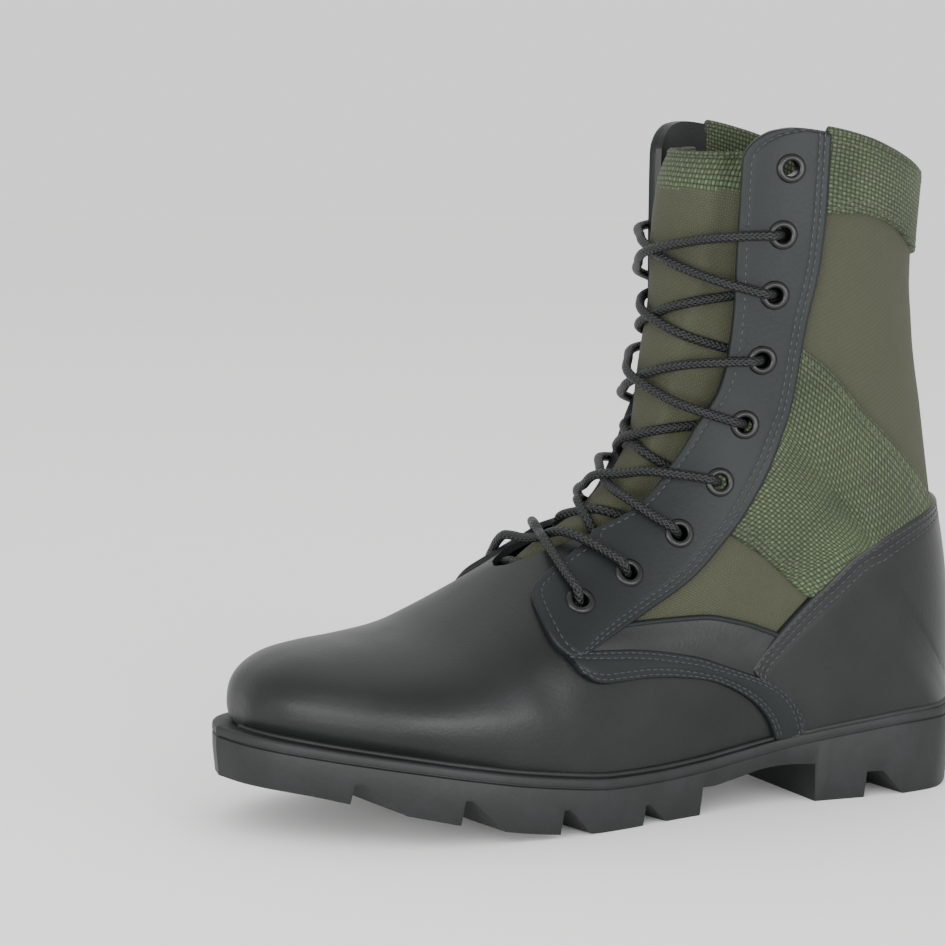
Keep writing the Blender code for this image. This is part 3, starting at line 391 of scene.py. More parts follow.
def place_of(along, height):
    """Table places (u, s) on the outer side of what the side view shows at a length along and a height."""
    along, height = np.asarray(along, float), np.asarray(height, float)
    y, z = y_of(along), height * BOOT_HEIGHT

    def ends(u):
        row = section_at(u)
        return row, y_of(row.foot), foot_height(row), y_of(row.front), row.height * BOOT_HEIGHT

    def past(u):
        _, y0, z0, y1, z1 = ends(u)
        return (y1 - y0) * (z - z0) - (z1 - z0) * (y - y0) < 0

    start = past(np.full(along.shape, 2.0))
    u = halving(lambda v: past(v) != start, np.full(along.shape, 2.0), np.full(along.shape, float(TOP_ROW)))
    row, y0, z0, y1, z1 = ends(u)
    level = ((y - y0) * (y1 - y0) + (z - z0) * (z1 - z0)) / ((y1 - y0) ** 2 + (z1 - z0) ** 2)
    share = np.clip((level - row.level) / (1.0 - row.level), 0.0, 1.0)
    q_up = 0.5 * (1.0 - np.arcsin(share ** (0.5 * row.crown)) / (0.5 * np.pi))
    q_down = 0.5 + 0.5 * np.arcsin(np.clip(1.0 - level / row.level, 0.0, 1.0)) / (0.5 * np.pi)
    q = np.where(level > row.level, q_up, q_down)
    return np.stack((u, 0.5 * (1.0 - q)), axis=-1)


def line_places(line, count=160):
    """Places along a side-view line, made round at its corners and evenly spaced on the face."""
    points = np.array(line)
    steps = lengths(points)
    where = np.linspace(0.0, steps[-1], count)
    along, height = (Curve(steps, column)(where) for column in points.T)
    return even(place_of(along, height), count)


def even(places, count):
    """Places along a curve on the face, resampled at even lengths."""
    points = on_face(places)
    steps = lengths(points)
    where = np.linspace(0.0, steps[-1], count)
    return read_along(where, steps, places)


def throat_share(u, side):
    """Share s at which the ring at u meets the throat's edge, or the ridge where there is no throat."""
    u = np.asarray(u, float)

    def past(q):
        p = face_points(u, q)
        height = p[..., 2] / BOOT_HEIGHT
        edge = (THROAT_CENTRE(height) + side * THROAT_HALF(height)) * HALF_BALL
        return side * (p[..., 0] - edge) < 0

    start = np.zeros(u.shape) if side > 0 else np.ones(u.shape)
    found = halving(past, start, np.full(u.shape, 0.5))
    ridge_height = face_points(u, np.full(u.shape, 0.5))[..., 2] / BOOT_HEIGHT
    return np.where(ridge_height < THROAT_FLOOR, 0.5, found)


def mirrored(places, side):
    """Places on one side of the boot from places on its outer side."""
    if side > 0:
        return places
    return np.stack((places[..., 0], 1.0 - places[..., 1]), axis=-1)


# Making objects


def deselect():
    if bpy.context.object and bpy.context.object.mode != "OBJECT":
        bpy.ops.object.mode_set(mode="OBJECT")
    bpy.ops.object.select_all(action="DESELECT")


def pick(piece):
    deselect()
    piece.select_set(True)
    bpy.context.view_layer.objects.active = piece


def link_object(piece):
    bpy.context.scene.collection.objects.link(piece)


def edit_all(piece):
    """Enter Edit Mode with the whole piece selected."""
    pick(piece)
    bpy.ops.object.mode_set(mode="EDIT")
    bpy.ops.mesh.select_all(action="SELECT")


def leave_edit():
    bpy.ops.object.mode_set(mode="OBJECT")


def face_centres(mesh):
    centres = np.zeros(len(mesh.polygons) * 3)
    mesh.polygons.foreach_get("center", centres)
    return centres.reshape(-1, 3)


def finish(piece, name, mat, nodes=(), angle=40.0):
    """Name, material, smooth shading, body and stand-in of a piece."""
    piece.name = name
    piece.data.name = name
    if mat:
        piece.data.materials.clear()
        piece.data.materials.append(mat)
    pick(piece)
    bpy.ops.object.shade_smooth_by_angle(angle=math.radians(angle))
    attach(piece, "root")
    if nodes:
        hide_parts(*nodes)
    return piece


def grid_piece(points, uv=None, facing=None):
    """Grid shaped to rows and columns of points, with its faces turned the way that facing points."""
    rows, cols = points.shape[:2]
    if uv is None:
        uv = np.zeros((rows, cols, 2))
    if facing is not None:
        across = points[:, 1:] - points[:, :-1]
        along = points[1:] - points[:-1]
        turn = np.cross(across[:-1], along[:, :-1])
        if np.sum(turn * facing[:-1, :-1]) < 0:
            points, uv = points[:, ::-1], uv[:, ::-1]
    deselect()
    bpy.ops.mesh.primitive_grid_add(x_subdivisions=cols - 1, y_subdivisions=rows - 1, size=1.0)
    piece = bpy.context.object
    mesh = piece.data
    mesh.vertices.foreach_set("co", np.ascontiguousarray(points, np.float32).reshape(-1))
    corners = np.zeros(len(mesh.loops), np.int32)
    mesh.loops.foreach_get("vertex_index", corners)
    flat = np.ascontiguousarray(uv, np.float32).reshape(-1, 2)
    mesh.uv_layers[0].data.foreach_set("uv", flat[corners].reshape(-1))
    mesh.update()
    return piece


def surface_uv(points):
    """Lengths in metres along the columns and across the rows of a grid of points."""
    across = np.linalg.norm(np.diff(points, axis=1), axis=2)
    along = np.linalg.norm(np.diff(points, axis=0), axis=2)
    u = np.concatenate((np.zeros((points.shape[0], 1)), np.cumsum(across, axis=1)), axis=1)
    v = np.concatenate((np.zeros((1, points.shape[1])), np.cumsum(along, axis=0)), axis=0)
    middle = slice(points.shape[1] // 2, points.shape[1] // 2 + 1)
    return np.stack(np.broadcast_arrays(u - u[:, middle], v[:, middle]), axis=-1)


def apply_modifier(piece, kind, **settings):
    pick(piece)
    step = piece.modifiers.new(kind.title(), kind)
    for key, value in settings.items():
        setattr(step, key, value)
    bpy.ops.object.modifier_apply(modifier=step.name)


def joined(pieces):
    """One object of several, with coincident vertices merged."""
    deselect()
    for piece in pieces:
        piece.select_set(True)
    bpy.context.view_layer.objects.active = pieces[0]
    bpy.ops.object.join()
    return pieces[0]


def merge_seams(piece, distance=0.00005):
    edit_all(piece)
    bpy.ops.mesh.remove_doubles(threshold=distance)
    leave_edit()


def column_depths(width, count, edge):
    """Distances across a strip of one width, closer together at its rounded edges."""
    near = edge * np.array((0.0, 0.06, 0.22, 0.5))
    return np.concatenate((near, np.linspace(edge, width - edge, count), width - near[::-1]))


STITCH_GROOVE = 0.0007


def overlay(first, second, thickness, rows, cols, edge, grooves=(), soft=(True, True, True, True), swell=0.0):
    """Piece of leather or webbing laid on the upper between two curves of places. Soft says which of its edges
    are rounded down to the face: along both curves, then at their start and end.

    A groove is (distance from the first curve, or from the second if negative, depth)."""
    first, second = even(first, rows), even(second, rows)
    a = on_face(first)
    b = on_face(second)
    middle = 0.5 * (first + second)
    m = on_face(middle)
    width = np.linalg.norm(a - m, axis=1) + np.linalg.norm(m - b, axis=1)
    depth = np.stack([column_depths(max(w, 3.0 * edge), cols, edge) for w in width])
    share = depth / depth[:, -1:]
    places = first[:, None, :] + (second - first)[:, None, :] * share[..., None]
    length = lengths(m)[:, None]
    reach = depth[:, -1:]
    ends = [np.broadcast_to(d, depth.shape) for d in (depth, reach - depth, length, length[-1] - length)]
    near = np.min([d if flag else np.full(depth.shape, 1.0) for d, flag in zip(ends, soft)], axis=0)
    round_edge = np.sqrt(1.0 - (1.0 - np.clip(near / edge, 0.0, 1.0)) ** 2)
    lift = thickness * round_edge + swell * np.sin(np.pi * np.clip(share, 0, 1)) ** 2
    for where, drop in grooves:
        d = depth - where if where > 0 else (reach - depth) + where
        lift = lift - drop * np.exp(-((d / STITCH_GROOVE) ** 2)) * (near > 0.5 * edge)
    normals = normals_on(places)
    points = on_face(places) + normals * lift[..., None]
    uv = np.stack((depth, np.broadcast_to(length, depth.shape)), axis=-1)
    return grid_piece(points, uv, normals)


def grooved(distances, depth=0.0002):
    """Grooves at distances from a piece's edges, counted as in overlay."""
    return [(d, depth) for d in distances]


def sew(name, first, second, face, distances, thread, rows=400):
    """Rows of stitches on an overlay, at distances from its edges. Each stitch lies half sunk in its face."""
    paths = [strip_path(first, second, d, face, rows) for d in distances]
    stitches(name, paths, FINISHES[thread])


def strip_path(first, second, distance, thickness, rows=400):
    """Points and normals of a line on an overlay at a distance from one of its edges."""
    first, second = even(first, rows), even(second, rows)
    if distance < 0:
        first, second, distance = second, first, -distance
    a = on_face(first)
    b = on_face(second)
    width = np.maximum(np.linalg.norm(a - b, axis=1), 1e-6)
    places = first + (second - first) * np.clip(distance / width, 0.0, 0.98)[:, None]
    normals = normals_on(places)
    return on_face(places) + normals * thickness, normals


def sizes():
    """Sizes that the sidebar's panel shows."""
    return bpy.context.scene.boot_sizes


def stitch_template():
    """Vertices and faces of one stitch, lying along x with its underside sunk."""
    deselect()
    bpy.ops.mesh.primitive_uv_sphere_add(segments=8, ring_count=6, radius=0.5)
    piece = bpy.context.object
    edit_all(piece)
    bpy.ops.transform.rotate(value=math.pi / 2, orient_axis="Y", center_override=(0, 0, 0))
    length, width = sizes().stitch_length, sizes().thread_width
    bpy.ops.transform.resize(value=(length, width, 0.8 * width), center_override=(0, 0, 0))
    leave_edit()
    verts = np.array([v.co for v in piece.data.vertices])
    faces = [tuple(p.vertices) for p in piece.data.polygons]
    bpy.data.objects.remove(piece)
    return verts, faces


def stitches(name, rows, mat):
    """Rows of stitches along paths of points and normals, as one joined mesh."""
    verts, faces = stitch_template()
    all_verts, all_faces = [], []
    pitch = sizes().stitch_pitch
    for points, normals in rows:
        steps = lengths(points)
        count = int(steps[-1] / pitch)
        where = (np.arange(count) + 0.5) * pitch
        ahead = np.minimum(where + 0.0005, steps[-1])
        place = read_along(where, steps, points)
        next_place = read_along(ahead, steps, points)
        up = unit(read_along(where, steps, normals))
        along = unit(next_place - place)
        side = unit(np.cross(up, along))
        for p, x, y, z in zip(place, along, side, up):
            start = len(all_verts) * len(verts)
            all_verts.append(p + verts @ np.stack((x, y, z)))
            all_faces.extend(tuple(start + i for i in face) for face in faces)
    mesh = bpy.data.meshes.new(name)
    mesh.from_pydata(np.concatenate(all_verts).tolist(), [], all_faces)
    mesh.update()
    piece = bpy.data.objects.new(name, mesh)
    link_object(piece)
    return finish(piece, name, mat, (), 180.0)


def sweep(points, radius, sides):
    """Closed round cord along a line of points, with its length along v and its girth along u in metres."""
    points = np.asarray(points, float)
    tangent = unit(np.gradient(points, axis=0))
    normal = np.zeros_like(points)
    start = np.cross(tangent[0], (0.0, 0.0, 1.0))
    if np.linalg.norm(start) < 1e-3:
        start = np.cross(tangent[0], (1.0, 0.0, 0.0))
    normal[0] = unit(start)
    for i in range(1, len(points)):
        normal[i] = unit(normal[i - 1] - tangent[i] * np.dot(normal[i - 1], tangent[i]))
    other = np.cross(tangent, normal)
    steps = lengths(points)
    angle = 2.0 * np.pi * np.arange(sides + 1) / sides
    ring = (normal[:, None, :] * np.cos(angle)[None, :, None] + other[:, None, :] * np.sin(angle)[None, :, None])
    bulge = 0.3 * radius
    start_cap = np.repeat(points[:1, None, :] - tangent[0] * bulge, sides + 1, axis=1)
    end_cap = np.repeat(points[-1:, None, :] + tangent[-1] * bulge, sides + 1, axis=1)
    grid = np.concatenate((start_cap, points[:, None, :] + ring * radius, end_cap), axis=0)
    facing = np.concatenate((ring[:1], ring, ring[-1:]), axis=0)
    v = np.concatenate(([0.0], steps, [steps[-1]]))
    uv = np.stack(np.broadcast_arrays((angle * radius)[None, :], v[:, None]), axis=-1)
    piece = grid_piece(grid, uv, facing)
    merge_seams(piece, 0.00002)
    return piece


def smooth_path(points, step=0.001):
    """Centripetal curve through points, at even steps."""
    points = np.asarray(points, float)
    ends = np.concatenate((2 * points[:1] - points[1:2], points, 2 * points[-1:] - points[-2:-1]))
    fine = []
    for p0, p1, p2, p3 in zip(ends, ends[1:], ends[2:], ends[3:]):
        for t in np.linspace(0.0, 1.0, 12, endpoint=False):
            fine.append(through(p0, p1, p2, p3, t))
    fine.append(points[-1])
    fine = np.array(fine)
    steps = lengths(fine)
    where = np.linspace(0.0, steps[-1], max(int(steps[-1] / step), 4))
    return read_along(where, steps, fine)


# Materials


def linear(code):
    """Linear colour of an sRGB hex code."""
    parts = [int(code[i:i + 2], 16) / 255.0 for i in (1, 3, 5)]
    return tuple(c / 12.92 if c <= 0.04045 else ((c + 0.055) / 1.055) ** 2.4 for c in parts) + (1.0,)


def add_node(mat, kind, settings=None, **inputs):
    """Add a node to a material. An input is a value, or the output socket that it is linked to. Its key is the
    socket's name, or i and the socket's number."""
    node = mat.node_tree.nodes.new(kind)
    for key, value in (settings or {}).items():
        setattr(node, key, value)
    for key, value in inputs.items():
        numbered = key[0] == "i" and key[1:].isdigit()
        socket = node.inputs[int(key[1:]) if numbered else key.replace("_", " ")]
        if isinstance(value, bpy.types.NodeSocket):
            mat.node_tree.links.new(value, socket)
        else:
            socket.default_value = value
    return node


def start_material(name, colour, roughness, ior=1.5, gloss=0.5, coat=0.0, sheen=0.0):
    """Material with plain values on its Principled shader. Gloss is the shader's specular level."""
    mat = bpy.data.materials.new(name)
    mat.use_nodes = True
    shader = mat.node_tree.nodes["Principled BSDF"]
    for key, value in (("Base Color", linear(colour)), ("Roughness", roughness), ("IOR", ior), ("Coat Weight", coat),
                       ("Coat Roughness", 0.28), ("Sheen Weight", sheen), ("Specular IOR Level", gloss)):
        shader.inputs[key].default_value = value
    return mat, shader


def link(mat, output, shader, socket):
    mat.node_tree.links.new(output, shader.inputs[socket])


def on_object(mat):
    return add_node(mat, "ShaderNodeTexCoord").outputs["Object"]


def on_uv(mat):
    return add_node(mat, "ShaderNodeUVMap", {"uv_map": "UVMap"}).outputs["UV"]


def noise(mat, place, size, detail, **more):
    """Cloudy pattern with blobs of about a size in millimetres."""
    return add_node(mat, "ShaderNodeTexNoise", Vector=place, Scale=MM / size, Detail=detail, **more)


def maths(mat, operation, *values):
    inputs = {"i" + str(number): value for number, value in enumerate(values)}
    return add_node(mat, "ShaderNodeMath", {"operation": operation}, **inputs).outputs[0]


def remap(mat, value, low, high, to_low=0.0, to_high=1.0):
    return add_node(mat, "ShaderNodeMapRange", Value=value, From_Min=low, From_Max=high, To_Min=to_low,
                    To_Max=to_high).outputs["Result"]


def tint(mat, shader, share, first, second):
    """Base colour between two hex codes."""
    mix = add_node(mat, "ShaderNodeMix", {"data_type": "RGBA"}, Factor=share, i6=linear(first), i7=linear(second))
    link(mat, mix.outputs[2], shader, "Base Color")


def emboss(mat, shader, height, strength, distance):
    """Fine relief from a height."""
    bump = add_node(mat, "ShaderNodeBump", Strength=strength, Distance=distance, Height=height)
    link(mat, bump.outputs["Normal"], shader, "Normal")


def leather_material(name, colour, worn, roughness, grain, coat, gloss):
    """Smooth chrome-tanned leather with a waxed finish: near black, with a fine pore grain that breaks up a broad
    soft sheen, and slightly greyer where the wax has dulled."""
    mat, shader = start_material(name, colour, roughness, gloss=gloss, coat=coat)
    place = on_object(mat)
    patches = noise(mat, place, 45.0, 3.0).outputs["Fac"]
    tint(mat, shader, remap(mat, patches, 0.35, 0.7), colour, worn)
    link(mat, remap(mat, patches, 0.3, 0.75, roughness - 0.05, roughness + 0.08), shader, "Roughness")
    # Pores about 0.6 mm apart, drawn twice their real size so that they show
    pores = add_node(mat, "ShaderNodeTexVoronoi", {"feature": "SMOOTH_F1"}, Vector=place, Scale=MM / 1.1)
    fine = noise(mat, place, 2.2, 4.0)
    emboss(mat, shader, maths(mat, "ADD", pores.outputs["Distance"], fine.outputs["Fac"]), grain, 0.0003)
    return mat


def weave_material(name, dark, light, pitch, depth, roughness, across=1.0, blotch=0.35):
    """Woven cloth, read from the piece's own lengths in metres: two crossed rounded threads, with a painted
    highlight on each crown and painted shade between threads."""
    mat, shader = start_material(name, dark, roughness, gloss=0.25, sheen=0.03)
    shader.inputs["Sheen Roughness"].default_value = 0.5
    place = on_object(mat)
    wobble = noise(mat, place, 9.0, 2.0).outputs["Color"]
    shift = add_node(mat, "ShaderNodeVectorMath", {"operation": "MULTIPLY_ADD"}, i0=wobble,
                     i1=(pitch * 0.5, pitch * 0.5, 0.0), i2=on_uv(mat))
    axes = add_node(mat, "ShaderNodeSeparateXYZ", Vector=shift.outputs[0])
    waves = [maths(mat, "SINE", maths(mat, "MULTIPLY", axes.outputs[axis], math.pi / (pitch * scale)))
             for axis, scale in (("X", across), ("Y", 1.0))]
    # Over and under: the product of both waves changes sign from one crossing to the next
    over = maths(mat, "MULTIPLY", *waves)
    crown = maths(mat, "POWER", maths(mat, "ABSOLUTE", over), 0.6)
    # Level is the weave's relief: it paints a highlight on the crowns and shade between and under threads, and
    # drives the bump
    level = maths(mat, "MULTIPLY", crown, remap(mat, over, -0.5, 0.5, 0.62, 1.0))
    stain = remap(mat, noise(mat, place, 30.0, 4.0).outputs["Fac"], 0.3, 0.7, 1.0 - blotch, 1.0)
    fleck = remap(mat, noise(mat, place, 1.6, 3.0).outputs["Fac"], 0.3, 0.7, 0.75, 1.0)
    # Painted highlight and painted shade of the weave, times the cloth's random stains and flecks
    tint(mat, shader, maths(mat, "MULTIPLY", maths(mat, "MULTIPLY", level, stain), fleck), dark, light)
    emboss(mat, shader, level, 0.8, depth)
    return mat


def rubber_material(name, colour, dusty):
    """Moulded vulcanised rubber: matt, with the faint pebble of its mould and a little grey dust."""
    mat, shader = start_material(name, colour, 0.58, 1.52, gloss=0.35)
    place = on_object(mat)
    dust = noise(mat, place, 18.0, 6.0, Roughness=0.65).outputs["Fac"]
    tint(mat, shader, remap(mat, dust, 0.45, 0.75), colour, dusty)
    emboss(mat, shader, noise(mat, place, 1.6, 4.0).outputs["Fac"], 0.35, 0.0003)
    return mat


STRAND_PITCH = 0.0021


def cord_material(name, colour, light):
    """Round braided cord with a wax coat: slanted strands with a thin painted highlight on their crowns and painted
    shade between them.
    """
    mat, shader = start_material(name, colour, 0.52, gloss=0.35)
    axes = add_node(mat, "ShaderNodeSeparateXYZ", Vector=on_uv(mat))
    waves = []
    for slant in (1.0, -1.0):
        both = maths(mat, "ADD", maths(mat, "MULTIPLY", axes.outputs["X"], slant), axes.outputs["Y"])
        waves.append(maths(mat, "SINE", maths(mat, "MULTIPLY", both, 2.0 * math.pi / STRAND_PITCH)))
    height = maths(mat, "MAXIMUM", *waves)
    # Painted highlight on the strands' crowns and painted shade in the grooves between them
    tint(mat, shader, remap(mat, height, -0.2, 1.0), colour, light)
    emboss(mat, shader, height, 0.7, 0.0004)
    return mat


def plain_material(name, colour, roughness, gloss=0.5):
    return start_material(name, colour, roughness, gloss=gloss)[0]


FINISHES = {}


def make_finishes(looks):
    # Roughness, strength of the grain, weight of the wax coat and gloss
    FINISHES["vamp"] = leather_material("waxed_vamp_leather", looks.leather, looks.leather_worn,
                                        0.40, 0.16, 0.02, 0.27)
    FINISHES["facing"] = leather_material("smooth_facing_leather", looks.facing, looks.facing_worn,
                                          0.46, 0.22, 0.02, 0.19)
    FINISHES["panel"] = leather_material("polished_panel_leather", looks.leather, looks.facing,
                                         0.34, 0.14, 0.04, 0.36)
    # Plain-woven cotton and nylon canvas, its 0.7 mm threads drawn 0.9 mm wide so that they show
    FINISHES["canvas"] = weave_material("olive_drab_canvas", looks.canvas_dark, looks.canvas,
                                        sizes().canvas_pitch, 0.00016, 0.92, blotch=0.30)
    # Coarse basket-woven nylon webbing with 1.9 mm crossings
    FINISHES["webbing"] = weave_material("green_nylon_webbing", looks.webbing_dark, looks.webbing,
                                         sizes().webbing_pitch, 0.0005, 0.78, 0.8, 0.50)
    # The lining's lighter colour is a painted highlight on its thread crowns, its darker one painted shade between
    # them
    FINISHES["lining"] = weave_material("dark_lining_cloth", "#14160f", "#22241b", 0.0012, 0.0002, 0.92)
    FINISHES["rubber"] = rubber_material("moulded_black_rubber", looks.rubber, looks.rubber_dust)
    FINISHES["enamel"] = plain_material("baked_black_enamel", "#090a0a", 0.34, 0.35)
    # The lace's second colour is a painted highlight on the crowns of its strands
    FINISHES["lace"] = cord_material("waxed_braided_cord", "#070808", "#141718")
    FINISHES["thread"] = plain_material("bonded_nylon_thread", "#1f2427", 0.45, 0.4)
    FINISHES["green_thread"] = plain_material("green_cotton_thread", "#39412f", 0.8)
    FINISHES["insole"] = plain_material("brushed_insole_cloth", "#1b1c17", 0.95)


# Pieces


# Rings down the sole's side to below its groove: inset from the outline and drop below the sole's top
GROOVE_DROP = 0.0030
RING_LEVELS = ((0.0016, 0.0), (0.0006, 0.00015), (0.00015, 0.0006), (0.0, 0.0013), (0.0, GROOVE_DROP),
               (0.0009, GROOVE_DROP + 0.0003), (0.0009, GROOVE_DROP + 0.0008), (0.0001, GROOVE_DROP + 0.0012))
MIDDLE_INSET = 0.0003


def outsole_ring(inset, height, stations):
    """Closed ring round the sole: outer side from heel to toe, then back along the inner side."""
    end = inset / SOLE_LENGTH
    place = np.concatenate(([0.0], stations, [1.0], stations[::-1]))
    side = np.concatenate((np.ones(len(stations) + 2), -np.ones(len(stations))))
    along = end + place * (1.0 - 2.0 * end)
    return np.stack((plan_edge(along, side, inset), y_of(along), height(place)), axis=-1)


def sole_stations(count):
    even_places = 0.5 - 0.5 * np.cos(np.pi * np.arange(1, count) / count)
    breast = HEEL_LENGTH / SOLE_LENGTH
    steps = np.array((breast, breast + 0.002, LUG_START - 0.024, LUG_START))
    kept = [a for a in even_places if np.min(np.abs(steps - a)) > 0.003]
    return np.sort(np.concatenate((kept, steps)))


def make_outsole():
    """Sole from rings round its side, closed above and below, then cut into lugs and softened at its edges."""
    stations = sole_stations(110)
    rings = [outsole_ring(inset, lambda a, drop=drop: sole_top(a) - drop, stations) for inset, drop in RING_LEVELS]
    rings.append(outsole_ring(MIDDLE_INSET, lambda a: 0.5 * (sole_top(a) + tread(a)), stations))
    rings.append(outsole_ring(LUG_DRAFT, tread, stations))
    rings = np.array(rings)
    rows = np.concatenate((rings, rings[:, :1]), axis=1)
    facing = rows - rows.mean(axis=(0, 1))
    facing[..., 2] = 0.0
    piece = grid_piece(rows, facing=facing)
    merge_seams(piece, 0.00001)
    half = rings.shape[1] // 2
    caps = []
    for ring, up in ((rings[0], 1.0), (rings[-1], -1.0)):
        lateral, medial = ring[:half + 1], np.concatenate((ring[:1], ring[:half - 1:-1]))
        across = np.linspace(0.0, 1.0, 9)[None, :, None]
        grid = lateral[:, None, :] + (medial - lateral)[:, None, :] * across
        caps.append(grid_piece(grid, facing=np.broadcast_to((0.0, 0.0, up), grid.shape)))
    piece = joined([piece] + caps)
    merge_seams(piece, 0.00003)
    for notch in NOTCHES:
        for side in BOTH_SIDES:
            cut(piece, notch_cutter(notch, side))
    cut(piece, channel_cutter())
    apply_modifier(piece, "BEVEL", width=0.0007, segments=2, limit_method="ANGLE", angle_limit=math.radians(42),
                   use_clamp_overlap=True)
    return finish(piece, "outsole_rubber", FINISHES["rubber"], ("outsole",), 38.0)


def cut(piece, cutter):
    """Take one solid out of another and remove it."""
    apply_modifier(piece, "BOOLEAN", operation="DIFFERENCE", solver="EXACT", object=cutter)
    bpy.data.objects.remove(cutter)
    if len(piece.data.polygons) < 100:
        raise RuntimeError("A cut left nothing of the sole")


def block(corners):
    """Box with its eight corners moved: four of one end in turn, then four of the other."""
    deselect()
    bpy.ops.mesh.primitive_cube_add(size=1.0)
    piece = bpy.context.object
    order = [0, 4, 5, 1, 2, 6, 7, 3]
    for index, corner in zip(order, corners):
        piece.data.vertices[index].co = corner
    edit_all(piece)
    bpy.ops.mesh.normals_make_consistent(inside=False)
    leave_edit()
    return piece


def notch_cutter(notch, side):
    low = float(tread(np.array(notch.along)))
    root = low + LUG_DEPTH * notch.depth
    mouth = low - 0.5 * LUG_DEPTH
    edge = float(plan_edge(notch.along, side))
    y = y_of(notch.along)
    half = 0.5 * NOTCH_APEX * notch.apex
    profile = ((y - half, root), (y + half, root),
               (y + half + 1.5 * (NOTCH_MOUTH - NOTCH_APEX), mouth), (y - half - 0.4 * NOTCH_APEX, mouth))
    corners = []
    for x in (edge * 1.15, edge * (1.0 - notch.reach)):
        shift = notch.lean * (abs(x) - abs(edge))
        corners += [(x, b + shift, c) for b, c in profile]
    return block(corners)


def channel_cutter():
    """Channel along the middle of the forefoot's tread, following the toe spring."""
    places = np.linspace(CHANNEL_START, CHANNEL_END, 15)
    x = 0.25 * (plan_edge(places, 1.0) + plan_edge(places, -1.0))
    low = tread(places)
    profile = ((-0.5, -1.0), (0.5, -1.0), (0.4, 0.8), (-0.4, 0.8), (-0.5, -1.0))
    grid = np.array([[(x[i] + a * CHANNEL_WIDTH, y_of(places[i]), low[i] + b * LUG_DEPTH) for a, b in profile]
                     for i in range(len(places))])
    piece = grid_piece(grid)
    merge_seams(piece, 0.00001)
    edit_all(piece)
    bpy.ops.mesh.fill_holes(sides=4)
    bpy.ops.mesh.normals_make_consistent(inside=False)
    leave_edit()
    return piece


def inside_outline(outline, y, z):
    """True for places of the side view that lie inside a closed outline."""
    hit = np.zeros(np.shape(y), bool)
    for (y0, z0), (y1, z1) in zip(outline, outline[1:] + outline[:1]):
        span = (z0 > z) != (z1 > z)
        hit ^= span & (y < (y1 - y0) * (z - z0) / ((z1 - z0) or 1e-9) + y0)
    return hit


# Soft troughs in the vamp and shaft: two ends in the side view, half width in metres and depth in metres.
Crease = namedtuple("Crease", "along0 height0 along1 height1 reach depth")
VAMP_CREASES = table(
    Crease,
    (0.7, 0.27, 0.64, 0.16, 0.0075, 0.0007), (0.742, 0.262, 0.7, 0.17, 0.008, 0.00045),
    (0.655, 0.215, 0.56, 0.15, 0.007, 0.0005), (0.47, 0.15, 0.4, 0.11, 0.007, 0.0005),
)
SHAFT_CREASES = table(
    Crease,
    (0.29, 0.8, 0.12, 0.76, 0.009, 0.0009), (0.3, 0.72, 0.2, 0.655, 0.008, 0.0006),
    (0.2, 0.86, 0.115, 0.64, 0.01, 0.0008), (0.52, 0.3, 0.43, 0.33, 0.006, 0.0006),
    (0.4, 0.3, 0.34, 0.33, 0.005, 0.0005),
)
STRAP_CREASES = table(
    Crease,
    (0.275, 0.47, 0.205, 0.405, 0.0024, 0.0016), (0.29, 0.56, 0.2, 0.5, 0.008, 0.0005),
    (0.35, 0.47, 0.25, 0.4, 0.007, 0.0005),
)


def trough(points, creases):
    """Depth of the creases at points of the face, the same on both sides of the boot."""
    flat = np.stack((points[..., 1], points[..., 2]), axis=-1)
    depth = np.zeros(flat.shape[:-1])
    for c in creases:
        a = np.array((y_of(c.along0), c.height0 * BOOT_HEIGHT))
        b = np.array((y_of(c.along1), c.height1 * BOOT_HEIGHT))
        t = np.clip(((flat - a) @ (b - a)) / np.dot(b - a, b - a), 0.0, 1.0)
        d = np.linalg.norm(flat - a - t[..., None] * (b - a), axis=-1) / c.reach
        fade = np.sin(np.pi * np.clip(0.12 + 0.76 * t, 0, 1))
        depth += c.depth * fade * (1.0 - 0.5 * d**2) * np.exp(-d**2)
    return depth


def eyelet_frames(side):
    """Places on the face of one side's eyelets, with their outward normals."""
    places = mirrored(place_of(*np.array(EYELET_SPOTS).T), side)
    return places, on_face(places), normals_on(places)


# Holes for the eyelets
HOLE_RADIUS = 0.0036
HOLE_REACH = 0.008
# Limits of the facings, as shares of the sole's length and the boot's height
STAY_START = 0.300
STAY_TOP = 0.950
STAY_FOOT = 0.404
FACING_FOOT = 0.350
# The tongue: its foot, the width tucked behind each facing, its gap to the wall, and how its edges sink in
TONGUE_FOOT = 0.345
TONGUE_LAP = 0.011
TONGUE_GAP = 0.0010
TONGUE_WALL = 0.0024
TONGUE_LEAN = 0.004
TUCK_WIDTH = 0.007
TUCK_DEPTH = 0.0035


def punch_holes(piece):
    """Take away the faces round each eyelet's barrel, under its flange."""
    mesh = piece.data
    centres = face_centres(mesh)
    hit = np.zeros(len(centres), bool)
    for side in BOTH_SIDES:
        _, places, normals = eyelet_frames(side)
        for place, normal in zip(places, normals):
            off = centres - place
            height = off @ normal
            across = np.linalg.norm(off - height[:, None] * normal, axis=1)
            hit |= (across < HOLE_RADIUS) & (np.abs(height) < HOLE_REACH)
    pick(piece)
    bpy.ops.object.mode_set(mode="EDIT")
    bpy.ops.mesh.select_mode(type="FACE")
    bpy.ops.mesh.select_all(action="DESELECT")
    leave_edit()
    mesh.polygons.foreach_set("select", hit)
    bpy.ops.object.mode_set(mode="EDIT")
    bpy.ops.mesh.delete(type="FACE")
    bpy.ops.mesh.select_mode(type="VERT")
    leave_edit()


def give_finishes(mesh, *keys):
    mesh.materials.clear()
    for key in keys:
        mesh.materials.append(FINISHES[key])


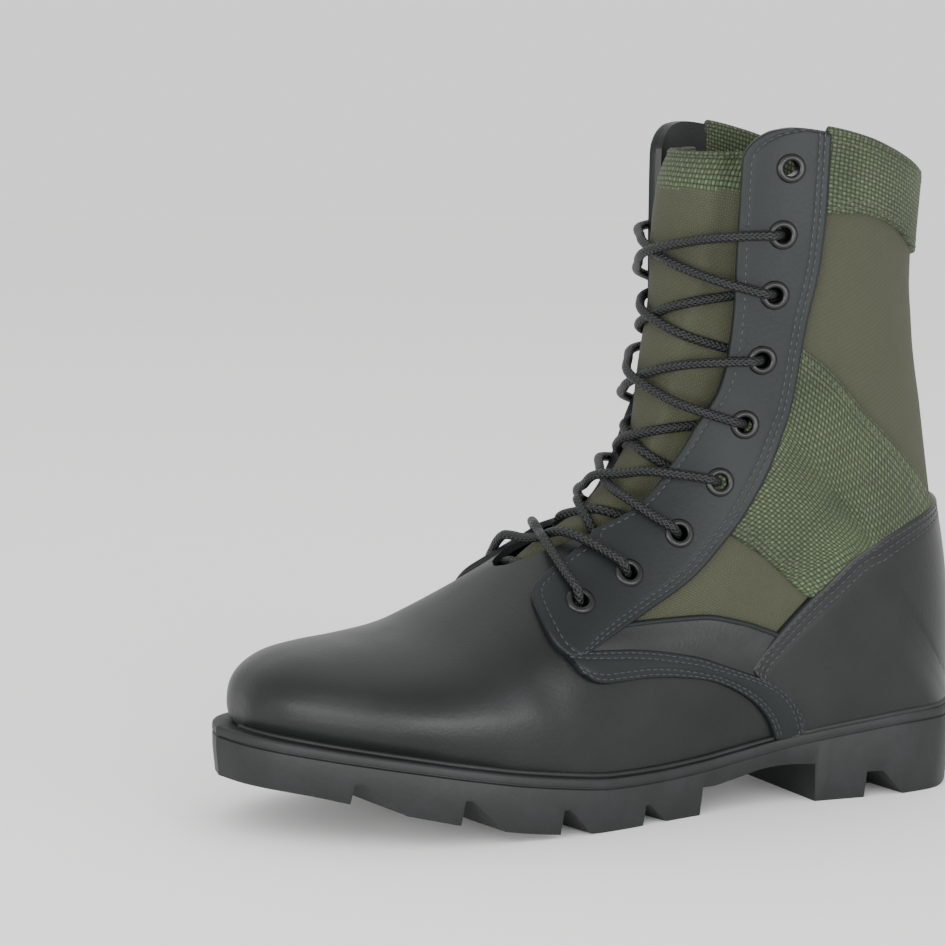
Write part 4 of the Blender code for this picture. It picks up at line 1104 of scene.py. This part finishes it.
def half_upper(side):
    """One side of the upper from toe to collar, between its foot or back line and the ridge or throat."""
    foot_rows, shaft_rows, cols = 156, 84, 96
    t = np.linspace(0.0, 1.0, cols)

    def share(u):
        edge = throat_share(u, side)
        return t * edge if side > 0 else 1.0 - t * (1.0 - edge)

    def above(u):
        p = face_points(u, share(u))
        return p[..., 2] > COLLAR_HEIGHT(along_of(p[..., 1])) * BOOT_HEIGHT

    top = halving(above, np.full(cols, float(HEEL_ROW)), np.full(cols, float(TOP_ROW)), 20)
    u_foot = np.repeat(np.linspace(0.0, float(HEEL_ROW), foot_rows)[:, None], cols, axis=1)
    climb = np.linspace(0.0, 1.0, shaft_rows)[1:, None]
    u = np.concatenate((u_foot, HEEL_ROW + climb * (top - HEEL_ROW)))
    s = share(u)
    normals = face_normals(u, s)
    base = face_points(u, s)
    points = base - normals * trough(base, VAMP_CREASES + SHAFT_CREASES)[..., None]
    # Rows from the middle of the toe's foot line out to it close the very tip
    first = points[0]
    centre = np.array((first[-1][0], 0.5 * (first[0][1] + first[-1][1]), first[0][2]))
    cap = np.stack([centre + (first - centre) * k for k in (0.0, 0.25, 0.5, 0.75)])
    points = np.concatenate((cap, points))
    normals = np.concatenate((np.repeat(normals[:1], len(cap), axis=0), normals))
    return grid_piece(points, surface_uv(points), normals)


def line_collar(piece):
    """Give the wall's inner face leather behind the eyelets and webbing round the collar."""
    mesh = piece.data
    kinds = np.zeros(len(mesh.polygons), np.int32)
    mesh.polygons.foreach_get("material_index", kinds)
    centres = face_centres(mesh)
    along, height = along_of(centres[:, 1]), centres[:, 2] / BOOT_HEIGHT
    inner = kinds >= 2
    kinds[inner & (along > STAY_START) & (height > FACING_FOOT)] = 1
    kinds[inner & (along <= STAY_START) & (height > COLLAR_LOW_HEIGHT(along))] = 4
    mesh.polygons.foreach_set("material_index", kinds)


def make_upper():
    """The upper's wall: canvas shaft and leather vamp outside, lining inside."""
    piece = joined([half_upper(1.0), half_upper(-1.0)])
    merge_seams(piece)
    punch_holes(piece)
    mesh = piece.data
    give_finishes(mesh, "canvas", "vamp", "lining", "lining", "webbing")
    centres = face_centres(mesh)
    cloth = inside_outline(CANVAS_EDGE, along_of(centres[:, 1]), centres[:, 2] / BOOT_HEIGHT)
    mesh.polygons.foreach_set("material_index", np.where(cloth, 0, 1).astype(np.int32))
    apply_modifier(piece, "SOLIDIFY", thickness=WALL, offset=-1.0, material_offset=2, material_offset_rim=1)
    line_collar(piece)
    return finish(piece, "upper_canvas_and_vamp", None, ("upper",), 50.0)


def make_tongue():
    """Canvas tongue, bulging between the facings and tucked behind them, with webbing along its top."""
    rows, cols = 150, 70
    t = np.linspace(0.0, 1.0, cols)

    def share(u):
        step = 0.004
        lateral, medial = throat_share(u, 1.0), throat_share(u, -1.0)
        scale = np.linalg.norm(face_points(u, lateral + step) - face_points(u, lateral - step), axis=-1) / (2 * step)
        low, high = lateral - TONGUE_LAP / scale, medial + TONGUE_LAP / scale
        return low + (high - low) * t

    def above(height):
        return lambda u: face_points(u, share(u))[..., 2] > height * BOOT_HEIGHT

    start, end = np.full(cols, 7.0), np.full(cols, float(TOP_ROW))
    bottom = halving(above(TONGUE_FOOT), start, end, 24)
    top = halving(above(TONGUE_TOP), start, end, 24)
    u = bottom + np.linspace(0.0, 1.0, rows)[:, None] * (top - bottom)
    s = share(u)
    normals = face_normals(u, s)
    points = face_points(u, s)
    reach = np.minimum(t, 1.0 - t)[None, :] * np.linalg.norm(points[:, 0] - points[:, -1], axis=-1)[:, None]
    tuck = ease(1.0 - (reach - TONGUE_LAP) / TUCK_WIDTH)
    height = points[..., 2] / BOOT_HEIGHT
    folds = 0.0005 * np.sin(30.0 * height + 2.0 * t[None, :]) + 0.0004 * np.sin(11.0 * t[None, :] + 9.0 * height)
    lean = TONGUE_LEAN * np.clip((height - 0.90) / 0.06, 0, 1) ** 2
    points = points + normals * (-(WALL + TONGUE_GAP) - TUCK_DEPTH * tuck + folds - lean)[..., None]
    piece = grid_piece(points, surface_uv(points), normals)
    mesh = piece.data
    give_finishes(mesh, "canvas", "webbing")
    band = face_centres(mesh)[:, 2] > TONGUE_TOP * BOOT_HEIGHT - sizes().tongue_band
    mesh.polygons.foreach_set("material_index", band.astype(np.int32))
    apply_modifier(piece, "SOLIDIFY", thickness=TONGUE_WALL, offset=-1.0)
    edge = points[-1] - normals[-1] * (0.5 * TONGUE_WALL)
    roll = sweep(smooth_path(edge, 0.0015), 0.0017, 10)
    finish(roll, "tongue_binding", FINISHES["webbing"], ())
    return finish(piece, "tongue_canvas", None, ("tongue",), 60.0)


def eyestay_edges(side):
    """Front and rear edges of an eyestay, both from the collar down to its tip."""
    u = np.linspace(float(TOP_ROW), 9.5, 240)
    s = throat_share(u, side)
    height = face_points(u, s)[..., 2] / BOOT_HEIGHT
    kept = (height < STAY_TOP) & (height > STAY_FOOT)
    throat = np.stack((u[kept], s[kept]), axis=-1)
    top = mirrored(line_places(EYESTAY_TOP, 20), side)
    tip = mirrored(line_places(EYESTAY_TIP, 60), side)
    front = np.concatenate((top, throat, tip))
    rear = mirrored(line_places(EYESTAY_REAR), side)
    return front, rear


def named(side):
    return "lateral" if side > 0 else "medial"


def make_eyestays():
    for side in BOTH_SIDES:
        front, rear = eyestay_edges(side)
        piece = overlay(front, rear, EYESTAY_FACE, 300, 60, 0.0011, grooved(EYESTAY_SEAMS), swell=0.0002)
        punch_holes(piece)
        finish(piece, "eyestay_leather_" + named(side), FINISHES["facing"], ("eyestay_" + named(side),),
               60.0)
        sew("eyestay_stitches_" + named(side), front, rear, EYESTAY_FACE - 0.00015, EYESTAY_SEAMS, "thread")


def counter_edges(side):
    """Free edge of one half of the counter, and its line along the sole and up the back."""
    back = halving(lambda v: face_points(v, 0.0)[..., 2] > COUNTER_TOP * BOOT_HEIGHT, float(HEEL_ROW),
                   float(TOP_ROW))
    line = line_places(COUNTER_LINE)
    line = np.concatenate((line, [(float(back), 0.0)]))
    heel = np.stack((np.linspace(line[0, 0], float(back), 160), np.zeros(160)), axis=-1)
    return mirrored(line, side), mirrored(heel, side)


def make_counter():
    halves, rows = [], []
    for side in BOTH_SIDES:
        line, heel = counter_edges(side)
        halves.append(overlay(line, heel, COUNTER_FACE, 200, 70, 0.0011, grooved(COUNTER_SEAMS, 0.00025),
                              soft=(True, False, False, False), swell=0.0004))
        rows += [strip_path(line, heel, d, COUNTER_FACE - 0.00015) for d in COUNTER_SEAMS]
    piece = joined(halves)
    merge_seams(piece, 0.0004)
    finish(piece, "heel_counter_leather", FINISHES["vamp"], ("heel_counter",), 60.0)
    stitches("counter_stitches", rows, FINISHES["thread"])


def make_bands():
    for side in BOTH_SIDES:
        top, low = (mirrored(line_places(line), side) for line in (BAND_TOP, BAND_LOW))
        piece = overlay(top, low, BAND_FACE, 160, 24, 0.0010, grooved(BAND_SEAMS), swell=0.0003)
        finish(piece, "seam_band_leather_" + named(side), FINISHES["facing"], ("seam_band_" + named(side),),
               60.0)
        sew("band_stitches_" + named(side), top, low, BAND_FACE - 0.0001, BAND_SEAMS, "thread")
        top, low = (mirrored(line_places(line), side) for line in (PANEL_TOP, PANEL_LOW))
        panel = overlay(top, low, PANEL_FACE, 110, 30, 0.0008, (), soft=(True, True, False, False), swell=0.0007)
        finish(panel, "side_panel_leather_" + named(side), FINISHES["panel"], ("side_panel_" + named(side),),
               60.0)
        path, _ = strip_path(top, low, 0.0003, 0.0009, 120)
        finish(sweep(path, 0.0011, 10), "panel_piping_" + named(side), FINISHES["facing"], ())


def make_straps():
    for side in BOTH_SIDES:
        top, low = (mirrored(line_places(line), side) for line in (STRAP_TOP, STRAP_LOW))
        piece = overlay(top, low, STRAP_FACE, 130, 80, 0.0009, grooved(STRAP_SEAMS[::2]), swell=0.0003)
        sink(piece, STRAP_CREASES)
        finish(piece, "ankle_strap_webbing_" + named(side), FINISHES["webbing"], ("ankle_strap_" + named(side),),
               60.0)
        sew("strap_stitches_" + named(side), top, low, STRAP_FACE - 0.0001, STRAP_SEAMS, "green_thread")


def sink(piece, creases):
    """Press creases into a finished overlay along its own normals."""
    mesh = piece.data
    points = np.zeros(len(mesh.vertices) * 3)
    normals = np.zeros(len(mesh.vertices) * 3)
    mesh.vertices.foreach_get("co", points)
    mesh.vertex_normals.foreach_get("vector", normals)
    points, normals = points.reshape(-1, 3), normals.reshape(-1, 3)
    points = points - normals * trough(points, creases)[:, None]
    mesh.vertices.foreach_set("co", points.reshape(-1))
    mesh.update()


def collar_edges(count=260):
    """Top and lower edge of the collar's webbing, round the back from one eyestay to the other."""
    reach = float(place_of(np.array(STAY_START), np.array(0.93))[1])
    s = np.linspace(reach, -reach, count)
    edges = []
    for line in (COLLAR_HEIGHT, COLLAR_LOW_HEIGHT):
        def above(u, line=line):
            p = face_points(u, s)
            return p[..., 2] > line(along_of(p[..., 1])) * BOOT_HEIGHT
        u = halving(above, np.full(count, float(HEEL_ROW)), np.full(count, float(TOP_ROW)))
        edges.append(np.stack((u, s), axis=-1))
    return edges


# How far the lip stands out from the upper, and how much more behind the place where the counter starts
LIP_OUT = 0.0004
LIP_OUT_HEEL = 0.0019
LIP_TURN = 0.285


def make_lip():
    """Thin lip of rubber that the sole's mould leaves at the foot of the upper. It is meant to run all round, but
    the fault that face_points names puts both halves on the outer side."""
    rows = np.linspace(0.0, float(HEEL_ROW), 260)
    sides = []
    for s in (0.0, 1.0):
        points, normals = face_points(rows, s), face_normals(rows, s)
        back = np.clip((LIP_TURN - along_of(points[:, 1])) / 0.006, 0.0, 1.0)
        normals[:, 2] = 0.0
        sides.append(points + unit(normals) * (LIP_OUT + LIP_OUT_HEEL * back)[:, None])
    path = np.concatenate((sides[0][::-1], sides[1]))
    finish(sweep(smooth_path(path, 0.0014), 0.5 * sizes().lip_width, 10), "sole_lip", FINISHES["rubber"], ())


def make_collar():
    top, low = collar_edges()
    piece = overlay(top, low, COLLAR_FACE, 260, 34, 0.0009, grooved(COLLAR_SEAMS[1:2]),
                    soft=(True, True, False, False), swell=0.0002)
    finish(piece, "collar_webbing", FINISHES["webbing"], ("collar_band",), 60.0)
    sew("collar_stitches", top, low, COLLAR_FACE - 0.0001, COLLAR_SEAMS, "green_thread", 500)
    normals = normals_on(top)
    rim = on_face(top) - normals * (0.5 * WALL) + normals * (0.5 * COLLAR_FACE)
    roll = sweep(smooth_path(rim[::3], 0.002), 0.0021, 10)
    finish(roll, "collar_binding", FINISHES["webbing"], ())


# Profile of an eyelet from inside its bore over the flange and down round the barrel: radius and height in mm
EYELET_PROFILE = ((2.8, -3.4), (2.8, 2.6), (2.95, 3.6), (3.4, 4.05), (4.2, 4.15), (4.9, 3.85), (5.4, 3.35),
                  (5.5, 2.9), (5.2, 2.75), (3.5, 2.75), (3.35, -2.6), (4.3, -2.9), (4.3, -3.3), (3.4, -3.7))


def make_eyelets():
    """One flanged eyelet turned from its profile, copied to every place."""
    turns = 40
    angle = 2.0 * np.pi * np.arange(turns + 1) / turns

    def turned(outline):
        return np.stack((np.outer(np.cos(angle), outline[:, 0]), np.outer(np.sin(angle), outline[:, 0]),
                         np.broadcast_to(outline[:, 1], (turns + 1, len(outline)))), axis=-1)

    profile = np.array(EYELET_PROFILE + EYELET_PROFILE[:1]) / MM
    first = grid_piece(turned(profile), facing=turned(profile - profile[:-1].mean(axis=0)))
    merge_seams(first, 0.00001)
    for side in BOTH_SIDES:
        _, places, normals = eyelet_frames(side)
        for number, (place, normal) in enumerate(zip(places, normals), 1):
            piece = first.copy()
            piece.data = first.data.copy()
            link_object(piece)
            turn = Vector(normal).to_track_quat("Z", "Y").to_matrix().to_4x4()
            piece.data.transform(Matrix.Translation(Vector(place)) @ turn)
            tag = named(side) + "_" + str(number)
            finish(piece, "eyelet_enamel_" + tag, FINISHES["enamel"], ("eyelet_" + tag,), 50.0)
    bpy.data.objects.remove(first)


# Depth of the lace's line from the face: along the bar, by its share from the middle; and by distance from an eyelet
# in metres, over a facing and behind it
BAR_DEPTH = ((0.0, 0.55, 0.93, 1.0), (-0.0028, -0.0046, -0.0052, -0.0030))
OVER_FACING = ((0.0, 0.0022, 0.0045, 0.0070, 0.0100), (0.0012, 0.0048, 0.0060, 0.0056, 0.0049))
BEHIND_FACING = ((0.0, 0.0025, 0.0060), (-0.0030, -0.0052, -0.0052))
# Where the throat is open: the line's height, and how far it hops over the other strand, or dips under it
OPEN_OUTER = (0.0010, 0.0019)
OPEN_INNER = (-0.0012, 0.0016)
DIP = -0.0009
# Distance in from the throat's edge over which the line comes down to the height of the open throat
SINK_LENGTH = 0.014


def straight_way(start, end, count=33):
    """Places where a plane through two eyelets, square to the ridge, crosses the face."""
    first, last = face_points(*start), face_points(*end)
    ridge_u = 0.5 * (start[0] + end[0])
    normal = face_normals(ridge_u, 0.5)
    across = unit(np.cross(last - first, normal))
    sign = 1.0 if np.dot(face_points(ridge_u + 1.0, 0.5) - first, across) > 0 else -1.0
    s = start[1] + (end[1] - start[1]) * np.linspace(0.0, 1.0, count)
    u = halving(lambda v: (face_points(v, s) - first) @ across * sign > 0, np.full(count, ridge_u - 4.0),
                np.full(count, min(ridge_u + 4.0, float(TOP_ROW))))
    return u, s


def crossing(start, end, outer, above):
    """Points of one strand between two eyelets, over the facings or behind them."""
    u, s = straight_way(start, end)
    base, normals = face_points(u, s), face_normals(u, s)
    height = base[:, 2] / BOOT_HEIGHT
    inside = THROAT_HALF(height) * HALF_BALL - np.abs(base[:, 0] - THROAT_CENTRE(height) * HALF_BALL)
    share = ease(inside / SINK_LENGTH)
    t = np.linspace(0.0, 1.0, len(u))
    hump = np.exp(-((t - 0.5) / 0.10) ** 2)
    reach = np.minimum(np.linalg.norm(base - base[0], axis=1), np.linalg.norm(base - base[-1], axis=1))
    facing = np.interp(reach, *(OVER_FACING if outer else BEHIND_FACING))
    middle, hop = OPEN_OUTER if outer else OPEN_INNER
    lift = facing + (middle - facing) * share + hump * (hop if above else DIP)
    return base + normals * lift[:, None]


def make_laces():
    """One lace in two strands: a straight bar inside the lowest row, then crossings to the second row from the
    top, in turn outside and inside. Its ends go in there and stop."""
    places = {side: eyelet_frames(side)[0] for side in BOTH_SIDES}
    rows = len(EYELET_SPOTS)
    bar_u, bar_s = straight_way(places[1.0][-1], places[-1.0][-1])
    depth = np.interp(np.abs(np.linspace(-1.0, 1.0, len(bar_u))), *BAR_DEPTH)
    bar = face_points(bar_u, bar_s) + face_normals(bar_u, bar_s) * depth[:, None]
    half = len(bar) // 2
    for side in BOTH_SIDES:
        start = bar[half::-1] if side > 0 else bar[half:]
        parts = [start[:-1]]
        here = side
        for row in range(rows - 1, 1, -1):
            outer = (rows - 1 - row) % 2 == 0
            above = (side > 0) == ((row // 2) % 2 == 0)
            part = crossing(places[here][row], places[-here][row - 1], outer, above)
            parts += [on_face(places[here][row])[None, :], part[1:-1]]
            here = -here
        last = places[here][1]
        centre, normal = face_points(*last), face_normals(*last)
        parts.append(np.stack((centre, centre - normal * 0.004, centre - normal * 0.007)))
        path = smooth_path(np.concatenate(parts), 0.0011)
        finish(sweep(path, 0.5 * sizes().lace_width, 12), "lace_strand_" + named(side), FINISHES["lace"],
               ("lace_bar",) + tuple("lace_cross_" + str(i) for i in range(1, 8)) if side > 0 else ())


def make_insole():
    """The bed inside, from its solid, with its edges softened."""
    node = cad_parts["insole"]
    piece = node.copy()
    piece.data = node.data.copy()
    piece.parent = None
    piece.matrix_world = Matrix.Identity(4)
    link_object(piece)
    merge_seams(piece, 0.00001)
    apply_modifier(piece, "BEVEL", width=0.0008, segments=2, limit_method="ANGLE", angle_limit=math.radians(50))
    return finish(piece, "insole_cloth", FINISHES["insole"], ("insole",))


# Stage: the camera's place and turn, worked out from the photo's perspective
CAMERA_DISTANCE = 1.1456
CAMERA_AZIMUTH = 59.42
CAMERA_HEIGHT = 0.2713
CAMERA_PITCH = 7.06
CAMERA_YAW = 2.0
CAMERA_ROLL = 1.9
CAMERA_AIM_Y = 0.010
CAMERA_LENS = 116.8
CAMERA_SHIFT = (-0.0570, -0.0202)


def make_camera():
    data = bpy.data.cameras.new("camera")
    camera = bpy.data.objects.new("camera", data)
    link_object(camera)
    azimuth = math.radians(CAMERA_AZIMUTH)
    place = Vector((math.sin(azimuth) * CAMERA_DISTANCE, CAMERA_AIM_Y - math.cos(azimuth) * CAMERA_DISTANCE,
                    CAMERA_HEIGHT))
    turns = ((CAMERA_AZIMUTH + CAMERA_YAW, "Z"), (90.0 - CAMERA_PITCH, "X"), (CAMERA_ROLL, "Z"))
    pose = Matrix.Translation(place)
    for angle, axis in turns:
        pose = pose @ Matrix.Rotation(math.radians(angle), 4, axis)
    camera.matrix_world = pose
    data.sensor_width = 36.0
    data.lens = CAMERA_LENS
    data.shift_x, data.shift_y = CAMERA_SHIFT
    data.clip_start = 0.01
    bpy.context.scene.camera = camera


def area_light(name, place, aim, size, watts, colour):
    data = bpy.data.lights.new(name, "AREA")
    data.shape = "RECTANGLE"
    data.size, data.size_y = size
    data.energy = watts
    data.color = colour
    lamp = bpy.data.objects.new(name, data)
    link_object(lamp)
    lamp.location = place
    lamp.rotation_euler = (Vector(aim) - Vector(place)).to_track_quat("-Z", "Y").to_euler()
    return lamp


def make_stage(looks):
    deselect()
    bpy.ops.mesh.primitive_plane_add(size=8.0, location=(0.0, 0.0, 0.0))
    floor = bpy.context.object
    floor.name = "floor"
    floor.data.materials.append(plain_material("pale_paper", looks.floor, 0.9))
    world = bpy.data.worlds.new("studio")
    world.use_nodes = True
    world.node_tree.nodes["Background"].inputs["Color"].default_value = linear(looks.sky)
    world.node_tree.nodes["Background"].inputs["Strength"].default_value = looks.sky_strength
    bpy.context.scene.world = world
    area_light("key_light", (1.0, -1.4, 1.3), (0.0, -0.02, 0.12), (1.2, 1.2), 7.0, (1.0, 0.99, 0.97))
    area_light("fill_light", (1.6, 0.7, 0.8), (0.0, 0.02, 0.10), (1.4, 1.0), 6.0, (0.95, 0.98, 1.0))
    area_light("low_side_light", (1.7, 0.0, 0.22), (0.0, -0.02, 0.05), (1.6, 0.40), 24.0, (1.0, 1.0, 1.0))
    area_light("low_front_light", (0.9, -1.5, 0.22), (0.0, -0.06, 0.05), (1.6, 0.40), 24.0, (1.0, 1.0, 1.0))
    area_light("top_light", (-0.4, 0.1, 1.7), (0.0, 0.0, 0.1), (1.4, 1.4), 4.0, (1.0, 1.0, 1.0))
    make_camera()


# Add-on


def colour(name, description, default):
    return bpy.props.StringProperty(name=name, description=description + ", as an sRGB hex code", default=default)


def length(name, description, default, low, high):
    return bpy.props.FloatProperty(name=name, description=description, default=default, min=low, max=high,
                                   subtype="DISTANCE", unit="LENGTH", precision=5)


class BootSizes(bpy.types.PropertyGroup):
    """Small sizes of the trim."""

    lace_width: length("Lace width", "Width of the round lace", 0.0036, 0.002, 0.005)
    stitch_length: length("Stitch length", "Length of thread that shows in one stitch", 0.0023, 0.001, 0.005)
    stitch_pitch: length("Stitch pitch", "Distance from one stitch to the next", 0.0031, 0.0015, 0.008)
    thread_width: length("Thread width", "Width of the sewing thread", 0.00075, 0.0003, 0.0015)
    canvas_pitch: length("Canvas pitch", "Distance between the canvas's threads", 0.0009, 0.0004, 0.003)
    webbing_pitch: length("Webbing pitch", "Distance between the webbing's threads", 0.0019, 0.0008, 0.004)
    tongue_band: length("Tongue band", "Height of the webbing along the tongue's top", 0.0128, 0.005, 0.03)
    lip_width: length("Lip width", "Width of the rubber lip round the foot of the upper", 0.0022, 0.001, 0.004)


class BootLooks(bpy.types.PropertyGroup):
    """Colours of the finishes and of the stage."""

    leather: colour("Leather", "Waxed leather of the vamp and counter", "#0d100f")
    leather_worn: colour("Dulled leather", "Leather where its wax has dulled", "#151918")
    facing: colour("Facing", "Leather of the eyestays and bands", "#121616")
    facing_worn: colour("Dulled facing", "Eyestays where they have dulled", "#171b1b")
    # Crown colours are the threads' own colour with a painted highlight; the shade colours are painted shade between
    # the threads
    canvas: colour("Canvas", "Crowns of the canvas's threads", "#464838")
    canvas_dark: colour("Canvas shade", "Gaps between the canvas's threads", "#303126")
    webbing: colour("Webbing", "Crowns of the webbing's threads", "#5b684b")
    webbing_dark: colour("Webbing shade", "Gaps between the webbing's threads", "#11170f")
    rubber: colour("Rubber", "Rubber of the sole", "#0f1212")
    rubber_dust: colour("Dusty rubber", "Rubber with dust on it", "#181c1c")
    floor: colour("Floor", "Paper floor", "#fbfbfa")
    sky: colour("Room", "Light of the room", "#ffffff")
    sky_strength: bpy.props.FloatProperty(name="Room light", description="Strength of the room's light",
                                          default=1.2, min=0.0, max=5.0)


class BOOT_OT_finishes(bpy.types.Operator):
    """Make the materials from the colours and sizes."""

    bl_idname = "boot.finishes"
    bl_label = "Finishes"
    bl_options = {"REGISTER", "UNDO"}

    def execute(self, context):
        make_finishes(context.scene.boot_looks)
        return {"FINISHED"}


class BOOT_OT_outsole(bpy.types.Operator):
    """Make the lugged rubber sole and the lip along its top."""

    bl_idname = "boot.outsole"
    bl_label = "Outsole"
    bl_options = {"REGISTER", "UNDO"}

    def execute(self, context):
        make_outsole()
        make_lip()
        return {"FINISHED"}


class BOOT_OT_upper(bpy.types.Operator):
    """Make the upper of canvas and leather, with its lining."""

    bl_idname = "boot.upper"
    bl_label = "Upper"
    bl_options = {"REGISTER", "UNDO"}

    def execute(self, context):
        make_upper()
        return {"FINISHED"}


class BOOT_OT_tongue(bpy.types.Operator):
    """Make the canvas tongue and its binding."""

    bl_idname = "boot.tongue"
    bl_label = "Tongue"
    bl_options = {"REGISTER", "UNDO"}

    def execute(self, context):
        make_tongue()
        return {"FINISHED"}


class BOOT_OT_insole(bpy.types.Operator):
    """Make the insole."""

    bl_idname = "boot.insole"
    bl_label = "Insole"
    bl_options = {"REGISTER", "UNDO"}

    def execute(self, context):
        make_insole()
        return {"FINISHED"}


class BOOT_OT_counter(bpy.types.Operator):
    """Make the heel counter and its stitches."""

    bl_idname = "boot.counter"
    bl_label = "Heel counter"
    bl_options = {"REGISTER", "UNDO"}

    def execute(self, context):
        make_counter()
        return {"FINISHED"}


class BOOT_OT_bands(bpy.types.Operator):
    """Make the seam bands, side panels and piping."""

    bl_idname = "boot.bands"
    bl_label = "Seam bands"
    bl_options = {"REGISTER", "UNDO"}

    def execute(self, context):
        make_bands()
        return {"FINISHED"}


class BOOT_OT_straps(bpy.types.Operator):
    """Make the ankle straps of webbing."""

    bl_idname = "boot.straps"
    bl_label = "Ankle straps"
    bl_options = {"REGISTER", "UNDO"}

    def execute(self, context):
        make_straps()
        return {"FINISHED"}


class BOOT_OT_collar(bpy.types.Operator):
    """Make the collar's webbing and binding."""

    bl_idname = "boot.collar"
    bl_label = "Collar"
    bl_options = {"REGISTER", "UNDO"}

    def execute(self, context):
        make_collar()
        return {"FINISHED"}


class BOOT_OT_eyestays(bpy.types.Operator):
    """Make both eyestays and their stitches."""

    bl_idname = "boot.eyestays"
    bl_label = "Eyestays"
    bl_options = {"REGISTER", "UNDO"}

    def execute(self, context):
        make_eyestays()
        return {"FINISHED"}


class BOOT_OT_eyelets(bpy.types.Operator):
    """Make the enamelled eyelets."""

    bl_idname = "boot.eyelets"
    bl_label = "Eyelets"
    bl_options = {"REGISTER", "UNDO"}

    def execute(self, context):
        make_eyelets()
        return {"FINISHED"}


class BOOT_OT_laces(bpy.types.Operator):
    """Run the lace through the eyelets."""

    bl_idname = "boot.laces"
    bl_label = "Lace"
    bl_options = {"REGISTER", "UNDO"}

    def execute(self, context):
        make_laces()
        return {"FINISHED"}


class BOOT_OT_stage(bpy.types.Operator):
    """Set the floor, the lights and the camera."""

    bl_idname = "boot.stage"
    bl_label = "Stage"
    bl_options = {"REGISTER", "UNDO"}

    def execute(self, context):
        make_stage(context.scene.boot_looks)
        return {"FINISHED"}


STEPS = (BOOT_OT_finishes, BOOT_OT_outsole, BOOT_OT_upper, BOOT_OT_tongue, BOOT_OT_insole, BOOT_OT_counter,
         BOOT_OT_bands, BOOT_OT_straps, BOOT_OT_collar, BOOT_OT_eyestays, BOOT_OT_eyelets, BOOT_OT_laces,
         BOOT_OT_stage)


class BOOT_PT_sidebar(bpy.types.Panel):
    """Lists the boot's sizes, colours and steps."""

    bl_idname = "BOOT_PT_sidebar"
    bl_label = "Jungle Boot"
    bl_space_type = "VIEW_3D"
    bl_region_type = "UI"
    bl_category = "Boot"

    def draw(self, context):
        for group in (context.scene.boot_sizes, context.scene.boot_looks):
            for key in group.__annotations__:
                self.layout.prop(group, key)
        for step in STEPS:
            self.layout.operator(step.bl_idname)


CLASSES = (BootSizes, BootLooks, *STEPS, BOOT_PT_sidebar)


def register():
    for item in CLASSES:
        bpy.utils.register_class(item)
    bpy.types.Scene.boot_sizes = bpy.props.PointerProperty(type=BootSizes)
    bpy.types.Scene.boot_looks = bpy.props.PointerProperty(type=BootLooks)


def unregister():
    del bpy.types.Scene.boot_looks
    del bpy.types.Scene.boot_sizes
    for item in reversed(CLASSES):
        bpy.utils.unregister_class(item)


def main():
    """Build the boot step by step."""
    register()
    bpy.ops.boot.finishes()
    bpy.ops.boot.outsole()
    bpy.ops.boot.upper()
    bpy.ops.boot.tongue()
    bpy.ops.boot.insole()
    bpy.ops.boot.counter()
    bpy.ops.boot.bands()
    bpy.ops.boot.straps()
    bpy.ops.boot.collar()
    bpy.ops.boot.eyestays()
    bpy.ops.boot.eyelets()
    bpy.ops.boot.laces()
    bpy.ops.boot.stage()


if __name__ == "__main__":
    main()
